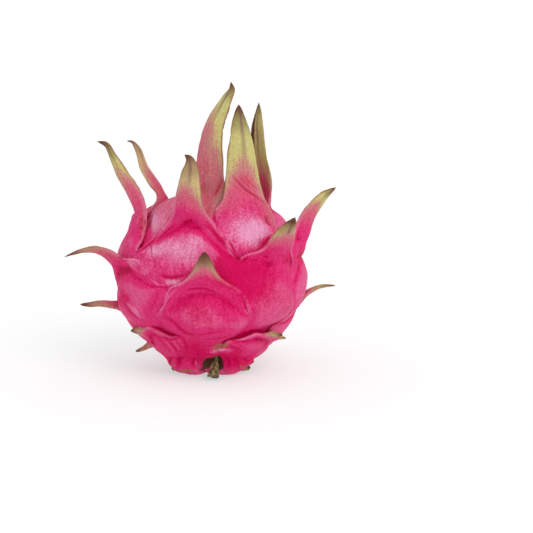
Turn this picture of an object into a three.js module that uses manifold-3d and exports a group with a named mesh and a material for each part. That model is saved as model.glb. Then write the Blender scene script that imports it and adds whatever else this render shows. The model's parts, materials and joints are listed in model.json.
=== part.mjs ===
// A whole dragon fruit (pitaya) standing on its stem end. Millimetres, +Z up. The origin is the
// middle of the flat spot that it rests on. -Y is its front and +X its right side.
//
// The rind is a globe covered by fleshy scales. Each scale starts as a foot under the scales
// below it, swells into a pillow that hugs the globe, narrows to a neck, and then leaves the
// rind as a tapering blade. Every scale overlaps the feet of the scales above it.

import * as THREE from 'three';
import { mergeVertices } from 'three/addons/utils/BufferGeometryUtils.js';
import Module from 'manifold-3d';

const wasm = await Module();
wasm.setup();

// Driving dimensions.
const GLOBE_RADIUS = 43.2;      // the rind between and below the pillows
const GLOBE_HEIGHT = 45.2;      // its centre, above the table
const CENTRE = new THREE.Vector3(0, 0, GLOBE_HEIGHT);

// [latitude, share of the globe's radius]: it draws in under its middle and spreads at its base.
const GLOBE_SHAPE = [[-90, 1.01], [-68, 1], [-56, 0.96], [-36, 0.945], [-8, 1], [90, 1]];

// The hollow round the stem is a tent: wide at the table and narrow at its top, which leans back.
const HOLLOW = { foot: [0.4, -26.2, -3], top: [3.6, -17.5, 14.8], footRadius: 10.2, topRadius: 1.2 };
const STEM = { root: [4.2, -15.5, 17], end: [2.6, -25.2, 2.2], rootRadius: 1.2, endRadius: 2.8 };
const STEM_WAIST = 0.35;        // how far it draws in half-way along
const STEM_RIBS = { count: 3, height: 0.1 };
const STEM_GAP = 0.35;          // between the stem and the flesh that it is sunk in
const NAVEL = { turn: 180, latitude: 70, radius: 9.5, depth: 5 };   // the dried dish at the top
const NAVEL_RIM = 45.2;         // its rim, from the globe's centre
const SCAR = { radius: 5.5, height: 2.2 };                          // where the flower came off
const TABLE = { side: 200, depth: 40 };     // the block that cuts the flat spot

// Facets: a few across each face of a scale, and one for each length along it.
const OUTER_FACETS = 8;
const INNER_FACETS = 4;
const FACET_LENGTH = 5.8;
const LEAST_FACETS = 8;
const GLOBE_FACETS = [26, 16];
const STEM_FACETS = [9, 4];
const HOLLOW_FACETS = [14, 4];
const DISH_FACETS = [16, 10];

// One row for each scale. foot and neck are [turn, latitude] on the globe in degrees: turn 0 is
// the front and 90 the right side. spread is the pillow's half-width, neckWidth and blade are
// half-widths at the neck and above it. lift is how far the neck stands off the rind, swell how
// full the pillow is, and fold how deep its fold is at the neck; one below 0 fills the neck out.
// bell is how far the blade draws in between its root and its tip, and twist turns its face. path
// is the free blade's centre line up to its tip. Where a row has none, the blade is length long
// and bends out from the rind by lean degrees and aside by sweep degrees.
const SCALES = [
  // Tall scales round the navel.
  { name: 'crown_left', foot: [-42, 30], neck: [-8, 77], spread: 22, neckWidth: 11, blade: 9.2,
    path: [[0, -9, 100], [0.5, -7.5, 112], [2.4, -6, 122.5], [8.5, -4, 134.5], [11.5, -3,
    139.5], [11, -2, 143]] },
  { name: 'crown_right', foot: [24, 18], neck: [38, 48], spread: 21.5, neckWidth: 18,
    blade: 11.2, fold: -0.4, path: [[18.3, -19.8, 89.5], [17.4, -16.5, 98.5], [17, -15, 108.5],
    [16.4, -15, 118.5], [15.5, -13, 126], [15, -11, 132.5]] },
  { name: 'crown_far_right', foot: [84, 18], neck: [102, 48], spread: 20, neckWidth: 11,
    blade: 7.8, swell: 1.1, bell: -0.15, twist: 35, path: [[27.8, 8, 94], [25.4, 9, 106], [24.5,
    8, 119.5], [24.5, 6, 132.5]] },
  { name: 'crown_back', foot: [156, 6], neck: [160, 50], spread: 21, neckWidth: 11, blade: 7.6,
    path: [[15, 33, 92], [16.5, 35, 103], [16, 33, 113]] },
  { name: 'crown_back_left', foot: [-158, 16], neck: [-160, 58], spread: 20, neckWidth: 10.5,
    blade: 7, path: [[-4, 27, 98], [-0.5, 29, 109], [4, 27, 119]] },
  { name: 'shoulder_left', foot: [-110, 12], neck: [-110, 56], spread: 19, neckWidth: 10,
    blade: 5.4, twist: -30, path: [[-25.6, 11, 88.5], [-29.2, 12, 93.6], [-32.7, 13.5, 99],
    [-35.8, 15, 108], [-38.6, 16, 112], [-41.5, 16, 112.5]] },
  // Upper tier.
  { name: 'front_high', foot: [-17, -10], neck: [-13, 43], spread: 36, neckWidth: 12.5,
    blade: 8, lift: 1.2, fold: 1, path: [[-8.5, -36, 87.5], [-8, -38, 95], [-7.4, -38, 101.5],
    [-7, -37, 106.5], [-7.9, -36, 109.5], [-10.2, -35, 111]] },
  { name: 'left_high', foot: [-82, -8], neck: [-75, 34], spread: 24, neckWidth: 13.8,
    blade: 4.3, fold: -0.3, bell: -0.04, twist: 56, path: [[-32.8, -10.5, 80], [-36.6, -7.5,
    90.4], [-42, -4.5, 98.5], [-46.5, -3.5, 107], [-49.5, -3, 112.5], [-54, -2, 114]] },
  { name: 'right_front', foot: [30, -30], neck: [46, 19], spread: 31, neckWidth: 16.5,
    blade: 9.8, fold: -0.4, path: [[35, -33.5, 67.5], [37, -36.5, 73], [39, -39, 77.8], [41.5,
    -41, 82.2]] },
  { name: 'right_high', foot: [84, -28], neck: [86, 15], spread: 23, neckWidth: 15.5,
    blade: 6.6, swell: 1.4, twist: -40, path: [[45.2, -1, 66.5], [47.2, 1, 72.5], [50.5, 4,
    78.5], [56.7, 8, 85.8], [63, 11, 90]] },
  { name: 'back_right_high', foot: [130, -24], neck: [139, 15], spread: 22, neckWidth: 10,
    blade: 6.4, length: 22, lean: 120, sweep: 35 },
  { name: 'back_left_high', foot: [-146, -16], neck: [-150, 22], spread: 25, neckWidth: 11,
    blade: 6.6, length: 24, lean: 125, sweep: -30 },
  // Middle tier.
  { name: 'front_middle', foot: [-3, -44], neck: [-1, 2], spread: 24, neckWidth: 18,
    blade: 11.2, fold: 0.4, bell: 0.2, path: [[-0.6, -52, 56.5], [-0.4, -55.5, 63], [0, -58,
    69]] },
  { name: 'left_middle', foot: [-46, -37], neck: [-64, 9], spread: 32, neckWidth: 17.2,
    blade: 6, path: [[-48, -19, 61], [-53, -21, 63.5], [-59.5, -22, 63.5], [-65, -23, 62], [-69,
    -24, 60.5]] },
  { name: 'left_low', foot: [-82, -58], neck: [-89, -18], spread: 20, neckWidth: 9, blade: 4.2,
    path: [[-50, -3, 33.5], [-55, -4, 34], [-59.5, -4, 33.5], [-64, -4, 33.5]] },
  { name: 'back_left_middle', foot: [-118, -48], neck: [-124, -8], spread: 23, neckWidth: 10,
    blade: 6, length: 28, lean: 100, sweep: -35 },
  { name: 'back_middle', foot: [-172, -58], neck: [-178, -14], spread: 24, neckWidth: 11,
    blade: 6.4, length: 30, lean: 80 },
  { name: 'back_right_middle', foot: [138, -58], neck: [146, -18], spread: 23, neckWidth: 10.5,
    blade: 6, length: 28, lean: 88 },
  { name: 'right_low', foot: [84, -60], neck: [94, -18], spread: 24, neckWidth: 11, blade: 6.2,
    length: 24, lean: 80 },
  // Low tier.
  { name: 'front_low_left', foot: [-5, -58], neck: [-48, -32], spread: 16, neckWidth: 7.5,
    blade: 3.6, swell: 0.5, path: [[-34.5, -17, 23], [-38.5, -13, 22]] },
  { name: 'front_low_right', foot: [16, -62], neck: [50, -35], spread: 17, neckWidth: 10,
    blade: 5, swell: 0.6, length: 10, lean: 60 },
  { name: 'side_low_left', foot: [-24, -68], neck: [-76, -47], spread: 11, neckWidth: 6.5,
    blade: 3.6, swell: 0.3, path: [[-33, -8, 12], [-36.5, -8, 10.5]] },
  { name: 'side_low_right', foot: [40, -70], neck: [90, -46], spread: 15, neckWidth: 8,
    blade: 4.5, swell: 0.5, length: 9, lean: 60 },
  { name: 'back_low_left', foot: [-120, -80], neck: [-136, -44], spread: 18, neckWidth: 9,
    blade: 5, swell: 0.6, length: 12, lean: 60 },
  { name: 'back_low_right', foot: [120, -80], neck: [160, -44], spread: 18, neckWidth: 9,
    blade: 5, swell: 0.6, length: 12, lean: 60 },
  // Broad lobes round the stem, which the fruit stands on.
  { name: 'lobe_left', foot: [-8, -52], neck: [-56, -70], spread: 12.5, neckWidth: 9.5,
    blade: 9, swell: 1.2, path: [[-16.5, -8, 2.2], [-18.5, -8, 2.5]] },
  { name: 'lobe_right', foot: [10, -54], neck: [66, -70], spread: 15, neckWidth: 11.5,
    blade: 9.5, swell: 1.2, path: [[17.5, -7, 2], [20, -7, 2.5]] },
  { name: 'lobe_back_left', foot: [-14, -67], neck: [-146, -66], spread: 14, neckWidth: 11,
    blade: 8, swell: 1.2, path: [[-12, 15, 2], [-14, 17.5, 3]] },
  { name: 'lobe_back_right', foot: [16, -67], neck: [150, -66], spread: 14, neckWidth: 11,
    blade: 8, swell: 1.2, path: [[10, 16, 2], [12, 18.5, 3]] },
];

// Places along a scale run from 0 at its foot to 1 at its neck and 2 at its tip. Each list gives
// [place, millimetres], except for WIDTH, whose second value is the share that it takes of the
// pillow's half-width, then its share of the neck's, then of the blade's.
const WIDTH = [
  [0, 0, 0, 0], [0.12, 0.42, 0, 0], [0.3, 0.82, 0, 0], [0.5, 1, 0, 0], [0.62, 0.8, 0.2, 0],
  [0.8, 0.38, 0.62, 0], [1, 0, 1, 0], [1.2, 0, 0, 1], [1.4, 0, 0, 0.82], [1.6, 0, 0, 0.67],
  [1.75, 0, 0, 0.52], [1.87, 0, 0, 0.33], [1.95, 0, 0, 0.17], [2, 0, 0, 0],
];
const MARGIN = [[0, 41.5], [0.3, 43.2], [0.6, 44.8], [1, 45.8]];    // margins, from the centre
const CROWN = [
  [0, 0.4], [0.25, 1.7], [0.5, 2.5], [0.75, 2.1], [1, 1.4], [1.4, 1], [1.8, 0.7], [2, 0.3],
];
const FOLD = [[0.6, 0], [0.85, 0.1], [1.04, -1.2], [1.2, -0.1], [1.3, 0]];   // added at a full fold
const USUAL_FOLD = 0.7;
const BROW = 0.45;              // how far a fold's arch drops towards the margins
const BELLY = [[0, 0.4], [0.3, 4], [0.8, 6], [0.95, 4.5], [1.12, 2], [1.4, 1.3], [1.8, 0.8], [2, 0.3]];
const BEND = [[0, 45], [1, 45], [1.3, 26], [1.6, 15], [2, 9]];      // radius of a cross-section
const MARGIN_PLACES = [0, 0.33, 0.66, 1];   // where the centre line is tied to the globe
const TWIST_START = 0.9;        // a blade's twist runs from this place
const TWIST_RUN = 0.5;          // over this stretch
const START_LEAN = 12;          // how a free blade leaves the neck, in degrees
const FREE_STEPS = 4;
const LINE_DIVISIONS = 400;     // for measuring along a centre line
const BELL_START = 1.2;         // a blade's bell runs from this place to its tip

const radians = THREE.MathUtils.degToRad;

// A smooth line through [place, value] stations that never overshoots them.
function through(stations, at) {
  const last = stations.length - 1;
  if (at <= stations[0][0]) return stations[0][1];
  if (at >= stations[last][0]) return stations[last][1];
  const i = stations.findIndex(([place]) => place > at) - 1;
  const slope = (k) => (stations[k + 1][1] - stations[k][1]) / (stations[k + 1][0] - stations[k][0]);
  const tangent = (k) => {
    if (k === 0) return slope(0);
    if (k === last) return slope(last - 1);
    const before = slope(k - 1);
    const after = slope(k);
    return before * after <= 0 ? 0 : (2 * before * after) / (before + after);
  };
  const run = stations[i + 1][0] - stations[i][0];
  const rise = stations[i + 1][1] - stations[i][1];
  const x = (at - stations[i][0]) / run;
  return stations[i][1] + rise * x * x * (3 - 2 * x)
    + run * x * (1 - x) * (tangent(i) * (1 - x) - tangent(i + 1) * x);
}

function direction([turn, latitude]) {
  const across = Math.cos(radians(latitude));
  return new THREE.Vector3(
    Math.sin(radians(turn)) * across, -Math.cos(radians(turn)) * across, Math.sin(radians(latitude)),
  );
}

function globeShape(way) {
  return through(GLOBE_SHAPE, THREE.MathUtils.radToDeg(Math.asin(way.z / way.length())));
}

// A closed mesh with its shared vertices merged, as a solid.
function solid(geometry) {
  geometry.deleteAttribute('normal');
  geometry.deleteAttribute('uv');
  const merged = mergeVertices(geometry, 1e-5);
  return new wasm.Manifold(new wasm.Mesh({
    numProp: 3,
    vertProperties: new Float32Array(merged.attributes.position.array),
    triVerts: new Uint32Array(merged.index.array),
  }));
}

// The triangles of the one closed skin that holds the highest point. What the joins leave apart
// from it is dropped: a loose scrap, or the wall of a hollow that they have sealed.
function outerSkin({ vertProperties, triVerts }) {
  const parent = Array.from({ length: vertProperties.length / 3 }, (_, i) => i);
  const skinOf = (vertex) => {
    let i = vertex;
    while (parent[i] !== i) i = parent[i];
    return i;
  };
  let highest = 0;
  for (let i = 0; i < triVerts.length; i += 1) {
    const corner = triVerts[i];
    parent[skinOf(corner)] = skinOf(triVerts[i - (i % 3)]);
    if (vertProperties[3 * corner + 2] > vertProperties[3 * highest + 2]) highest = corner;
  }
  const kept = skinOf(highest);
  return triVerts.filter((_, i) => skinOf(triVerts[i - (i % 3)]) === kept);
}

function geometryOf(manifold) {
  const mesh = manifold.getMesh();
  const geometry = new THREE.BufferGeometry();
  geometry.setAttribute('position', new THREE.BufferAttribute(mesh.vertProperties, 3));
  geometry.setIndex(new THREE.BufferAttribute(outerSkin(mesh), 1));
  geometry.computeVertexNormals();
  return geometry;
}

// A ball squashed to three radii, with its third axis turned to point along a direction.
function ellipsoid(at, radii, along) {
  const ball = new THREE.SphereGeometry(1, ...DISH_FACETS);
  ball.rotateX(Math.PI / 2);
  ball.scale(...radii);
  ball.applyQuaternion(new THREE.Quaternion().setFromUnitVectors(new THREE.Vector3(0, 0, 1), along));
  ball.translate(...at);
  return ball;
}

function globeSolid() {
  const globe = new THREE.SphereGeometry(GLOBE_RADIUS, ...GLOBE_FACETS);
  globe.rotateX(Math.PI / 2);
  const position = globe.attributes.position;
  const place = new THREE.Vector3();
  for (let i = 0; i < position.count; i += 1) {
    place.fromBufferAttribute(position, i);
    place.multiplyScalar(globeShape(place)).add(CENTRE);
    position.setXYZ(i, place.x, place.y, place.z);
  }
  return solid(globe);
}

// The free blade's points beyond the neck, which is at start.
function freePoints(scale, foot, neck, start) {
  if (scale.path) return scale.path.map((point) => new THREE.Vector3(...point));
  const upward = foot.clone().addScaledVector(neck, -foot.dot(neck)).normalize().negate();
  const aside = new THREE.Vector3().crossVectors(upward, neck);
  const points = [];
  const point = start.clone();
  for (let step = 0.5; step < FREE_STEPS; step += 1) {
    const share = step / FREE_STEPS;
    const lean = radians(START_LEAN + (scale.lean - START_LEAN) * share);
    const ahead = upward.clone().multiplyScalar(Math.cos(lean));
    ahead.addScaledVector(neck, Math.sin(lean));
    ahead.addScaledVector(aside, Math.tan(radians((scale.sweep ?? 0) * share)));
    points.push(point.add(ahead.setLength(scale.length / FREE_STEPS)).clone());
  }
  return points;
}

// A scale's centre line, and the share of its length that hugs the globe.
function centreLine(scale) {
  const foot = direction(scale.foot);
  const neck = direction(scale.neck);
  const turn = new THREE.Quaternion().setFromUnitVectors(foot, neck);
  const points = MARGIN_PLACES.map((place) => {
    const way = foot.clone().applyQuaternion(new THREE.Quaternion().slerp(turn, place));
    const lift = (scale.lift ?? 0) * place ** 2;
    return way.multiplyScalar((through(MARGIN, place) + lift) * globeShape(way)).add(CENTRE);
  });
  points.push(...freePoints(scale, foot, neck, points[points.length - 1]));
  const curve = new THREE.CatmullRomCurve3(points, false, 'centripetal');
  const neckDivision = Math.round(LINE_DIVISIONS * (MARGIN_PLACES.length - 1) / (points.length - 1));
  return { curve, neckShare: curve.getLengths(LINE_DIVISIONS)[neckDivision] / curve.getLength() };
}

// The frames of a scale's cross-sections: place, centre, outward normal and side.
function sections(scale) {
  const { curve, neckShare } = centreLine(scale);
  const count = Math.max(LEAST_FACETS, Math.round(curve.getLength() / FACET_LENGTH));
  const frames = [];
  const normal = new THREE.Vector3();
  for (let i = 0; i <= count; i += 1) {
    const at = 2 * i / count;
    const share = at <= 1 ? at * neckShare : neckShare + (at - 1) * (1 - neckShare);
    const point = curve.getPointAt(share);
    const tangent = curve.getTangentAt(share);
    if (at <= 1) normal.subVectors(point, CENTRE);
    normal.addScaledVector(tangent, -normal.dot(tangent)).normalize();
    const turned = THREE.MathUtils.smoothstep(at, TWIST_START, TWIST_START + TWIST_RUN);
    const facing = normal.clone().applyAxisAngle(tangent, radians((scale.twist ?? 0) * turned));
    frames.push({ at, point, normal: facing, side: new THREE.Vector3().crossVectors(tangent, facing) });
  }
  return frames;
}

function halfWidth(scale, at) {
  return through(WIDTH.map(([place, pillow, neck, blade]) => {
    const free = THREE.MathUtils.clamp((place - BELL_START) / (2 - BELL_START), 0, 1);
    const drawn = Math.max(0, blade - 4 * (scale.bell ?? 0) * free * (1 - free));
    return [place, pillow * scale.spread + neck * scale.neckWidth + drawn * scale.blade];
  }), at);
}

// How far a scale's outer face stands off the scale's middle sheet, before it falls to the
// margins. The fold arches like an eyebrow: its ends lie lower on the scale than its middle.
function crown(scale, at, across) {
  const swell = at < 1 ? scale.swell ?? 1 : 1;
  return through(CROWN, at) * swell + (scale.fold ?? USUAL_FOLD) * through(FOLD, at + BROW * across ** 2);
}

// A scale is a ball drawn out along its centre line, from the pole at its foot to the one at
// its tip. Across it, the outer face comes first and then the inner face.
function scaleSolid(scale) {
  const frames = sections(scale);
  const sides = OUTER_FACETS + INNER_FACETS;
  const ball = new THREE.SphereGeometry(1, sides, frames.length - 1);
  const position = ball.attributes.position;
  for (let i = 0; i < position.count; i += 1) {
    const { at, point, normal, side } = frames[frames.length - 1 - Math.floor(i / (sides + 1))];
    const step = i % (sides + 1) % sides;
    const outer = step <= OUTER_FACETS;
    const across = outer ? 2 * step / OUTER_FACETS - 1 : 1 - 2 * (step - OUTER_FACETS) / INNER_FACETS;
    const arch = Math.max(0, 1 - across * across);
    const width = halfWidth(scale, at);
    const bend = through(BEND, at);
    const off = arch * (outer ? crown(scale, at, across) : -through(BELLY, at));
    const reach = width > 0 ? bend + off : bend;
    const place = point.clone()
      .addScaledVector(side, reach * Math.sin(width * across / bend))
      .addScaledVector(normal, reach * Math.cos(width * across / bend) - bend);
    position.setXYZ(i, place.x, place.y, place.z);
  }
  return solid(ball);
}

// A bar from one point to another, tapering from one radius to the other. swell gives the share
// of the radius at a place along it (0 to 1) and a turn round it.
function bar({ from, to, fromRadius, toRadius, facets, swell = () => 1 }) {
  const axis = new THREE.Vector3(...to).sub(new THREE.Vector3(...from));
  const length = axis.length();
  const made = new THREE.CylinderGeometry(toRadius, fromRadius, length, ...facets);
  const position = made.attributes.position;
  for (let i = 0; i < position.count; i += 1) {
    const x = position.getX(i);
    const z = position.getZ(i);
    const wide = swell(position.getY(i) / length + 0.5, Math.atan2(z, x), Math.hypot(x, z));
    position.setX(i, x * wide);
    position.setZ(i, z * wide);
  }
  made.translate(0, length / 2, 0);
  made.applyQuaternion(new THREE.Quaternion().setFromUnitVectors(
    new THREE.Vector3(0, 1, 0), axis.normalize(),
  ));
  made.translate(...from);
  return made;
}

// The stem's short cut end: a ribbed peg with a waist, made larger all round by grow.
function stemGeometry(grow) {
  const root = new THREE.Vector3(...STEM.root);
  const end = new THREE.Vector3(...STEM.end);
  const ahead = end.clone().sub(root).setLength(grow);
  return bar({
    from: root.sub(ahead).toArray(),
    to: end.add(ahead).toArray(),
    fromRadius: STEM.rootRadius,
    toRadius: STEM.endRadius,
    facets: STEM_FACETS,
    swell: (share, turn, radius) => {
      const ribs = 1 + STEM_RIBS.height * Math.cos(STEM_RIBS.count * turn);
      const waist = 1 - STEM_WAIST * Math.sin(Math.PI * share) ** 2;
      return radius > 0 ? ribs * waist + grow / radius : 0;
    },
  });
}

function hollowGeometry() {
  return bar({
    from: HOLLOW.foot,
    to: HOLLOW.top,
    fromRadius: HOLLOW.footRadius,
    toRadius: HOLLOW.topRadius,
    facets: HOLLOW_FACETS,
  });
}

// The dished navel at the top, with the scar of the flower in it.
function withNavel(globe) {
  const way = direction([NAVEL.turn, NAVEL.latitude]);
  const rim = way.clone().multiplyScalar(NAVEL_RIM).add(CENTRE);
  const floor = way.clone().multiplyScalar(NAVEL_RIM - NAVEL.depth).add(CENTRE);
  const dish = ellipsoid(rim.toArray(), [NAVEL.radius, NAVEL.radius, NAVEL.depth], way);
  const scar = ellipsoid(floor.toArray(), [SCAR.radius, SCAR.radius, SCAR.height], way);
  return globe.subtract(solid(dish)).add(solid(scar));
}

// A block under the table's top.
function tableBlock() {
  const { side, depth } = TABLE;
  const block = new THREE.BoxGeometry(side, side, depth);
  block.translate(0, 0, -depth / 2);
  return block;
}

function fruitSolid() {
  let fruit = SCALES.reduce((whole, scale) => whole.add(scaleSolid(scale)), withNavel(globeSolid()));
  fruit = fruit.subtract(solid(hollowGeometry()));
  fruit = fruit.subtract(solid(stemGeometry(STEM_GAP)));
  return fruit.subtract(solid(tableBlock()));
}

const peel = new THREE.MeshStandardMaterial({ color: 0xdc3c78, roughness: 0.5, metalness: 0 });
const bark = new THREE.MeshStandardMaterial({ color: 0x8c8446, roughness: 0.8, metalness: 0 });

const fruit = new THREE.Mesh(geometryOf(fruitSolid()), peel);
fruit.name = 'fruit';

const stem = new THREE.Mesh(stemGeometry(0), bark);
stem.name = 'stem_stub';

const group = new THREE.Group();
group.add(fruit, stem);

export default group;
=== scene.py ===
# %% [markdown]
# # A whole dragon fruit
#
# A dragon fruit is one fleshy body. Its rind is wrapped in thick scales: each one swells into a
# pillow that hugs the fruit, and then leaves it as a free, leafy blade with a dry tip. The stem
# was cut short, and the fruit stands on the lobes round it. This lesson makes the rind as one
# closed mesh, then the cut end of the stem, and paints both with procedural materials.
#
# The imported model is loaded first, so that everything made here lines up with it.

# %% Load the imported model
import json
import math
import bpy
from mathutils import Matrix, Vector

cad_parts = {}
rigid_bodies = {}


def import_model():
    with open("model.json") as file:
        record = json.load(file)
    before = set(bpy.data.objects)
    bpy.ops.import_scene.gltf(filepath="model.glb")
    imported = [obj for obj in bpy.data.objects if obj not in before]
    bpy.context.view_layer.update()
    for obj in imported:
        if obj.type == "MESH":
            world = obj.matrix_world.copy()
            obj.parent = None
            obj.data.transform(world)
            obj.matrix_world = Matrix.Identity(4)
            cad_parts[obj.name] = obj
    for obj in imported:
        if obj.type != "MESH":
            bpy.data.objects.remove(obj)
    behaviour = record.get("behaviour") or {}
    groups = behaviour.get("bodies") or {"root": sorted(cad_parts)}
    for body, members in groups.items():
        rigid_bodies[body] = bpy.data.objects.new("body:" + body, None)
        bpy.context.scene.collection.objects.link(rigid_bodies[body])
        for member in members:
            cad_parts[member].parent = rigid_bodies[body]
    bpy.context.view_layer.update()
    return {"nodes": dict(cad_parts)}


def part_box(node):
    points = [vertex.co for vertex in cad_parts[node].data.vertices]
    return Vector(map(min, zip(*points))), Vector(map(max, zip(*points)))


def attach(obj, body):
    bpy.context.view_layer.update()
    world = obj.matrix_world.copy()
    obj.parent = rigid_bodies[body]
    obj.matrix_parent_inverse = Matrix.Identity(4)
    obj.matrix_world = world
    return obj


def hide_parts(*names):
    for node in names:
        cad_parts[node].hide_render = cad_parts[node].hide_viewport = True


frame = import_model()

from types import SimpleNamespace

import bmesh
import bpy
import numpy as np
from mathutils import Quaternion, Vector, noise

# %% [markdown]
# ## Small helpers
#
# Blender works in metres, but a fruit is easier to think of in millimetres, so the tables below
# hold millimetres and metres() turns them. The other helpers put a thing in the scene, turn a
# finished bmesh into an object, and start a material.

# %% Helpers for numbers, objects and materials
home = bpy.context.scene.collection
UP = Vector((0, 0, 1))


def metres(length):
    """A length in millimetres, or a list or tuple of them, in metres."""
    if isinstance(length, (list, tuple)):
        return type(length)(metres(part) for part in length)
    return round(length / 1000, 7)


def add_object(name, data, where=home):
    made = bpy.data.objects.new(name, data)
    where.objects.link(made)
    return made


def as_object(bm, name, where=home):
    mesh = bpy.data.meshes.new(name)
    bm.to_mesh(mesh)
    bm.free()
    return add_object(name, mesh, where)


def set_sockets(node, **values):
    """Sets input sockets by name, with _ for a space."""
    for name, value in values.items():
        node.inputs[name.replace("_", " ")].default_value = value


def new_material(name):
    """A material, its node tree and its Principled shader."""
    material = bpy.data.materials.new(name)
    material.use_nodes = True
    return material, material.node_tree, material.node_tree.nodes["Principled BSDF"]


print("22 mm is", metres(22), "m")

# %% [markdown]
# ## Camera, floor and light
#
# The fruit is shown from slightly above, by a long lens that hardly distorts it. The floor is one
# pale sheet that runs on past the view, so there is no horizon. A bright sky and one big soft
# lamp give the even, nearly shadowless light of a product studio. An area lamp would fade across
# the floor, so the lamp is a sun with a wide disc. It is up on the right, and the folds on the
# left of each scale fall into a gentle shade.

# %% Camera
CAMERA_AIM = Vector((0.02825, 0.008865, 0.05027))
CAMERA_DISTANCE = 0.8
CAMERA_LIFT = math.radians(10)
CAMERA_BACK = Vector((0, -math.cos(CAMERA_LIFT), math.sin(CAMERA_LIFT)))

camera_data = bpy.data.cameras.new("camera")
camera_data.lens = 108
camera_data.sensor_width = 36
camera = add_object("camera", camera_data)
camera.location = CAMERA_AIM + CAMERA_DISTANCE * CAMERA_BACK
camera.rotation_euler = (math.pi / 2 - CAMERA_LIFT, 0, 0)
bpy.context.scene.camera = camera
print("camera at", [round(c, 3) for c in camera.location])


# %% Floor and lights
# What the paper scatters, and what it gives off by itself. Together they come to a near white.
# The more of it is glow, the fainter the shadow, and the less of the fruit's pink shows on it.
FLOOR_COLOUR = (0.62, 0.5, 0.51, 1)
FLOOR_GLOW = (0.37, 0.49, 0.48, 1)
FLOOR_REACH = 30                    # metres from its middle to a side
LAMP_TOWARDS = Vector((0.5, -0.7, 0.75))
LAMP_STRENGTH = 0.9
LAMP_WIDTH = math.radians(40)       # how wide the lamp looks from the fruit
SKY_STRENGTH = 0.85


def lit_floor():
    """A pale matt floor that glows a little, as paper lit from below does."""
    bm = bmesh.new()
    bmesh.ops.create_grid(bm, x_segments=1, y_segments=1, size=FLOOR_REACH)
    made = as_object(bm, "floor")
    material, _, shader = new_material("pale paper")
    set_sockets(shader, Base_Color=FLOOR_COLOUR, Roughness=0.9, Specular_IOR_Level=0.1,
                Emission_Color=FLOOR_GLOW, Emission_Strength=1)
    made.data.materials.append(material)
    return made


floor = lit_floor()
lamp = bpy.data.lights.new("key", "SUN")
lamp.energy, lamp.angle = LAMP_STRENGTH, LAMP_WIDTH
add_object("key", lamp).rotation_euler = LAMP_TOWARDS.to_track_quat("Z", "Y").to_euler()
world = bpy.data.worlds.new("studio")
world.use_nodes = True
set_sockets(world.node_tree.nodes["Background"], Color=(1, 1, 1, 1), Strength=SKY_STRENGTH)
bpy.context.scene.world = world
bpy.context.scene.view_settings.view_transform = "Standard"
print("floor", floor.dimensions[:2], "m")

# %% [markdown]
# ## The scales, one row each
#
# The scales could be scattered by a spiral rule, but a real fruit is less regular, and its
# outline is what everyone knows it by. So each scale has a row of its own: where its foot and
# its neck are on the globe, how wide it is, and the free blade's centre line where its bend
# matters. The other values shape the blade and say how it ripens.
#
# Places along a scale run from 0 at the foot to 1 at the neck, where it leaves the rind, and 2
# at the tip. Places across it run from -1 to 1, the right margin seen from outside.

# %% What a row may say
IN_MILLIMETRES = ("spread", "neck_width", "blade", "length", "lift", "path")
PLAIN = dict(
    path=(),        # points of the centre line beyond the neck. Without them the blade is
    length=30,      # this long,
    lean=60,        # bent out by so many degrees at its tip
    sweep=0,        # and bent aside by so many.
    twist=0,        # degrees by which a blade's face is turned about its line
    lift=0,         # how far the pillow's upper end stands off the globe
    swell=1,        # how full the pillow is
    fold=0.7,       # how deep the fold under the blade is. Below 0 it is filled out instead
    bell=0,         # above 0 the blade draws in halfway, like a bell, and below 0 it is fuller
    # bloom is partly painted highlight, and the crimson that fold lays under a brow partly painted
    # shade.
    bloom=0.25,     # whitish bloom on the pillow
    blush=0,        # crimson on it
    turn=1.6,       # the place where green takes over from pink
    green=0.8,      # how green it gets
    creep=0.17,     # how far the margins are ahead in ripening
    skew=0,         # how far the right side is ahead of the left
    dull=1.2,       # how far the mauve reaches down below the green
    brown=0.3,      # how far the dry brown runs down from the tip
    scorch=0,       # 1 where the right side is brown as well, and -1 for the left
)


def tongue(name, foot, neck, spread, neck_width, blade, **more):
    """One scale: foot and neck as (turn, latitude) in degrees, where turn 0 is the front and 90
    the right side, and half-widths of the pillow, the neck and the blade."""
    row = {**PLAIN, "name": name, "foot": foot, "neck": neck, "spread": spread,
           "neck_width": neck_width, "blade": blade, **more}
    return {key: metres(value) if key in IN_MILLIMETRES else value for key, value in row.items()}


print("a row has", len(PLAIN) + 6, "values")

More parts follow.
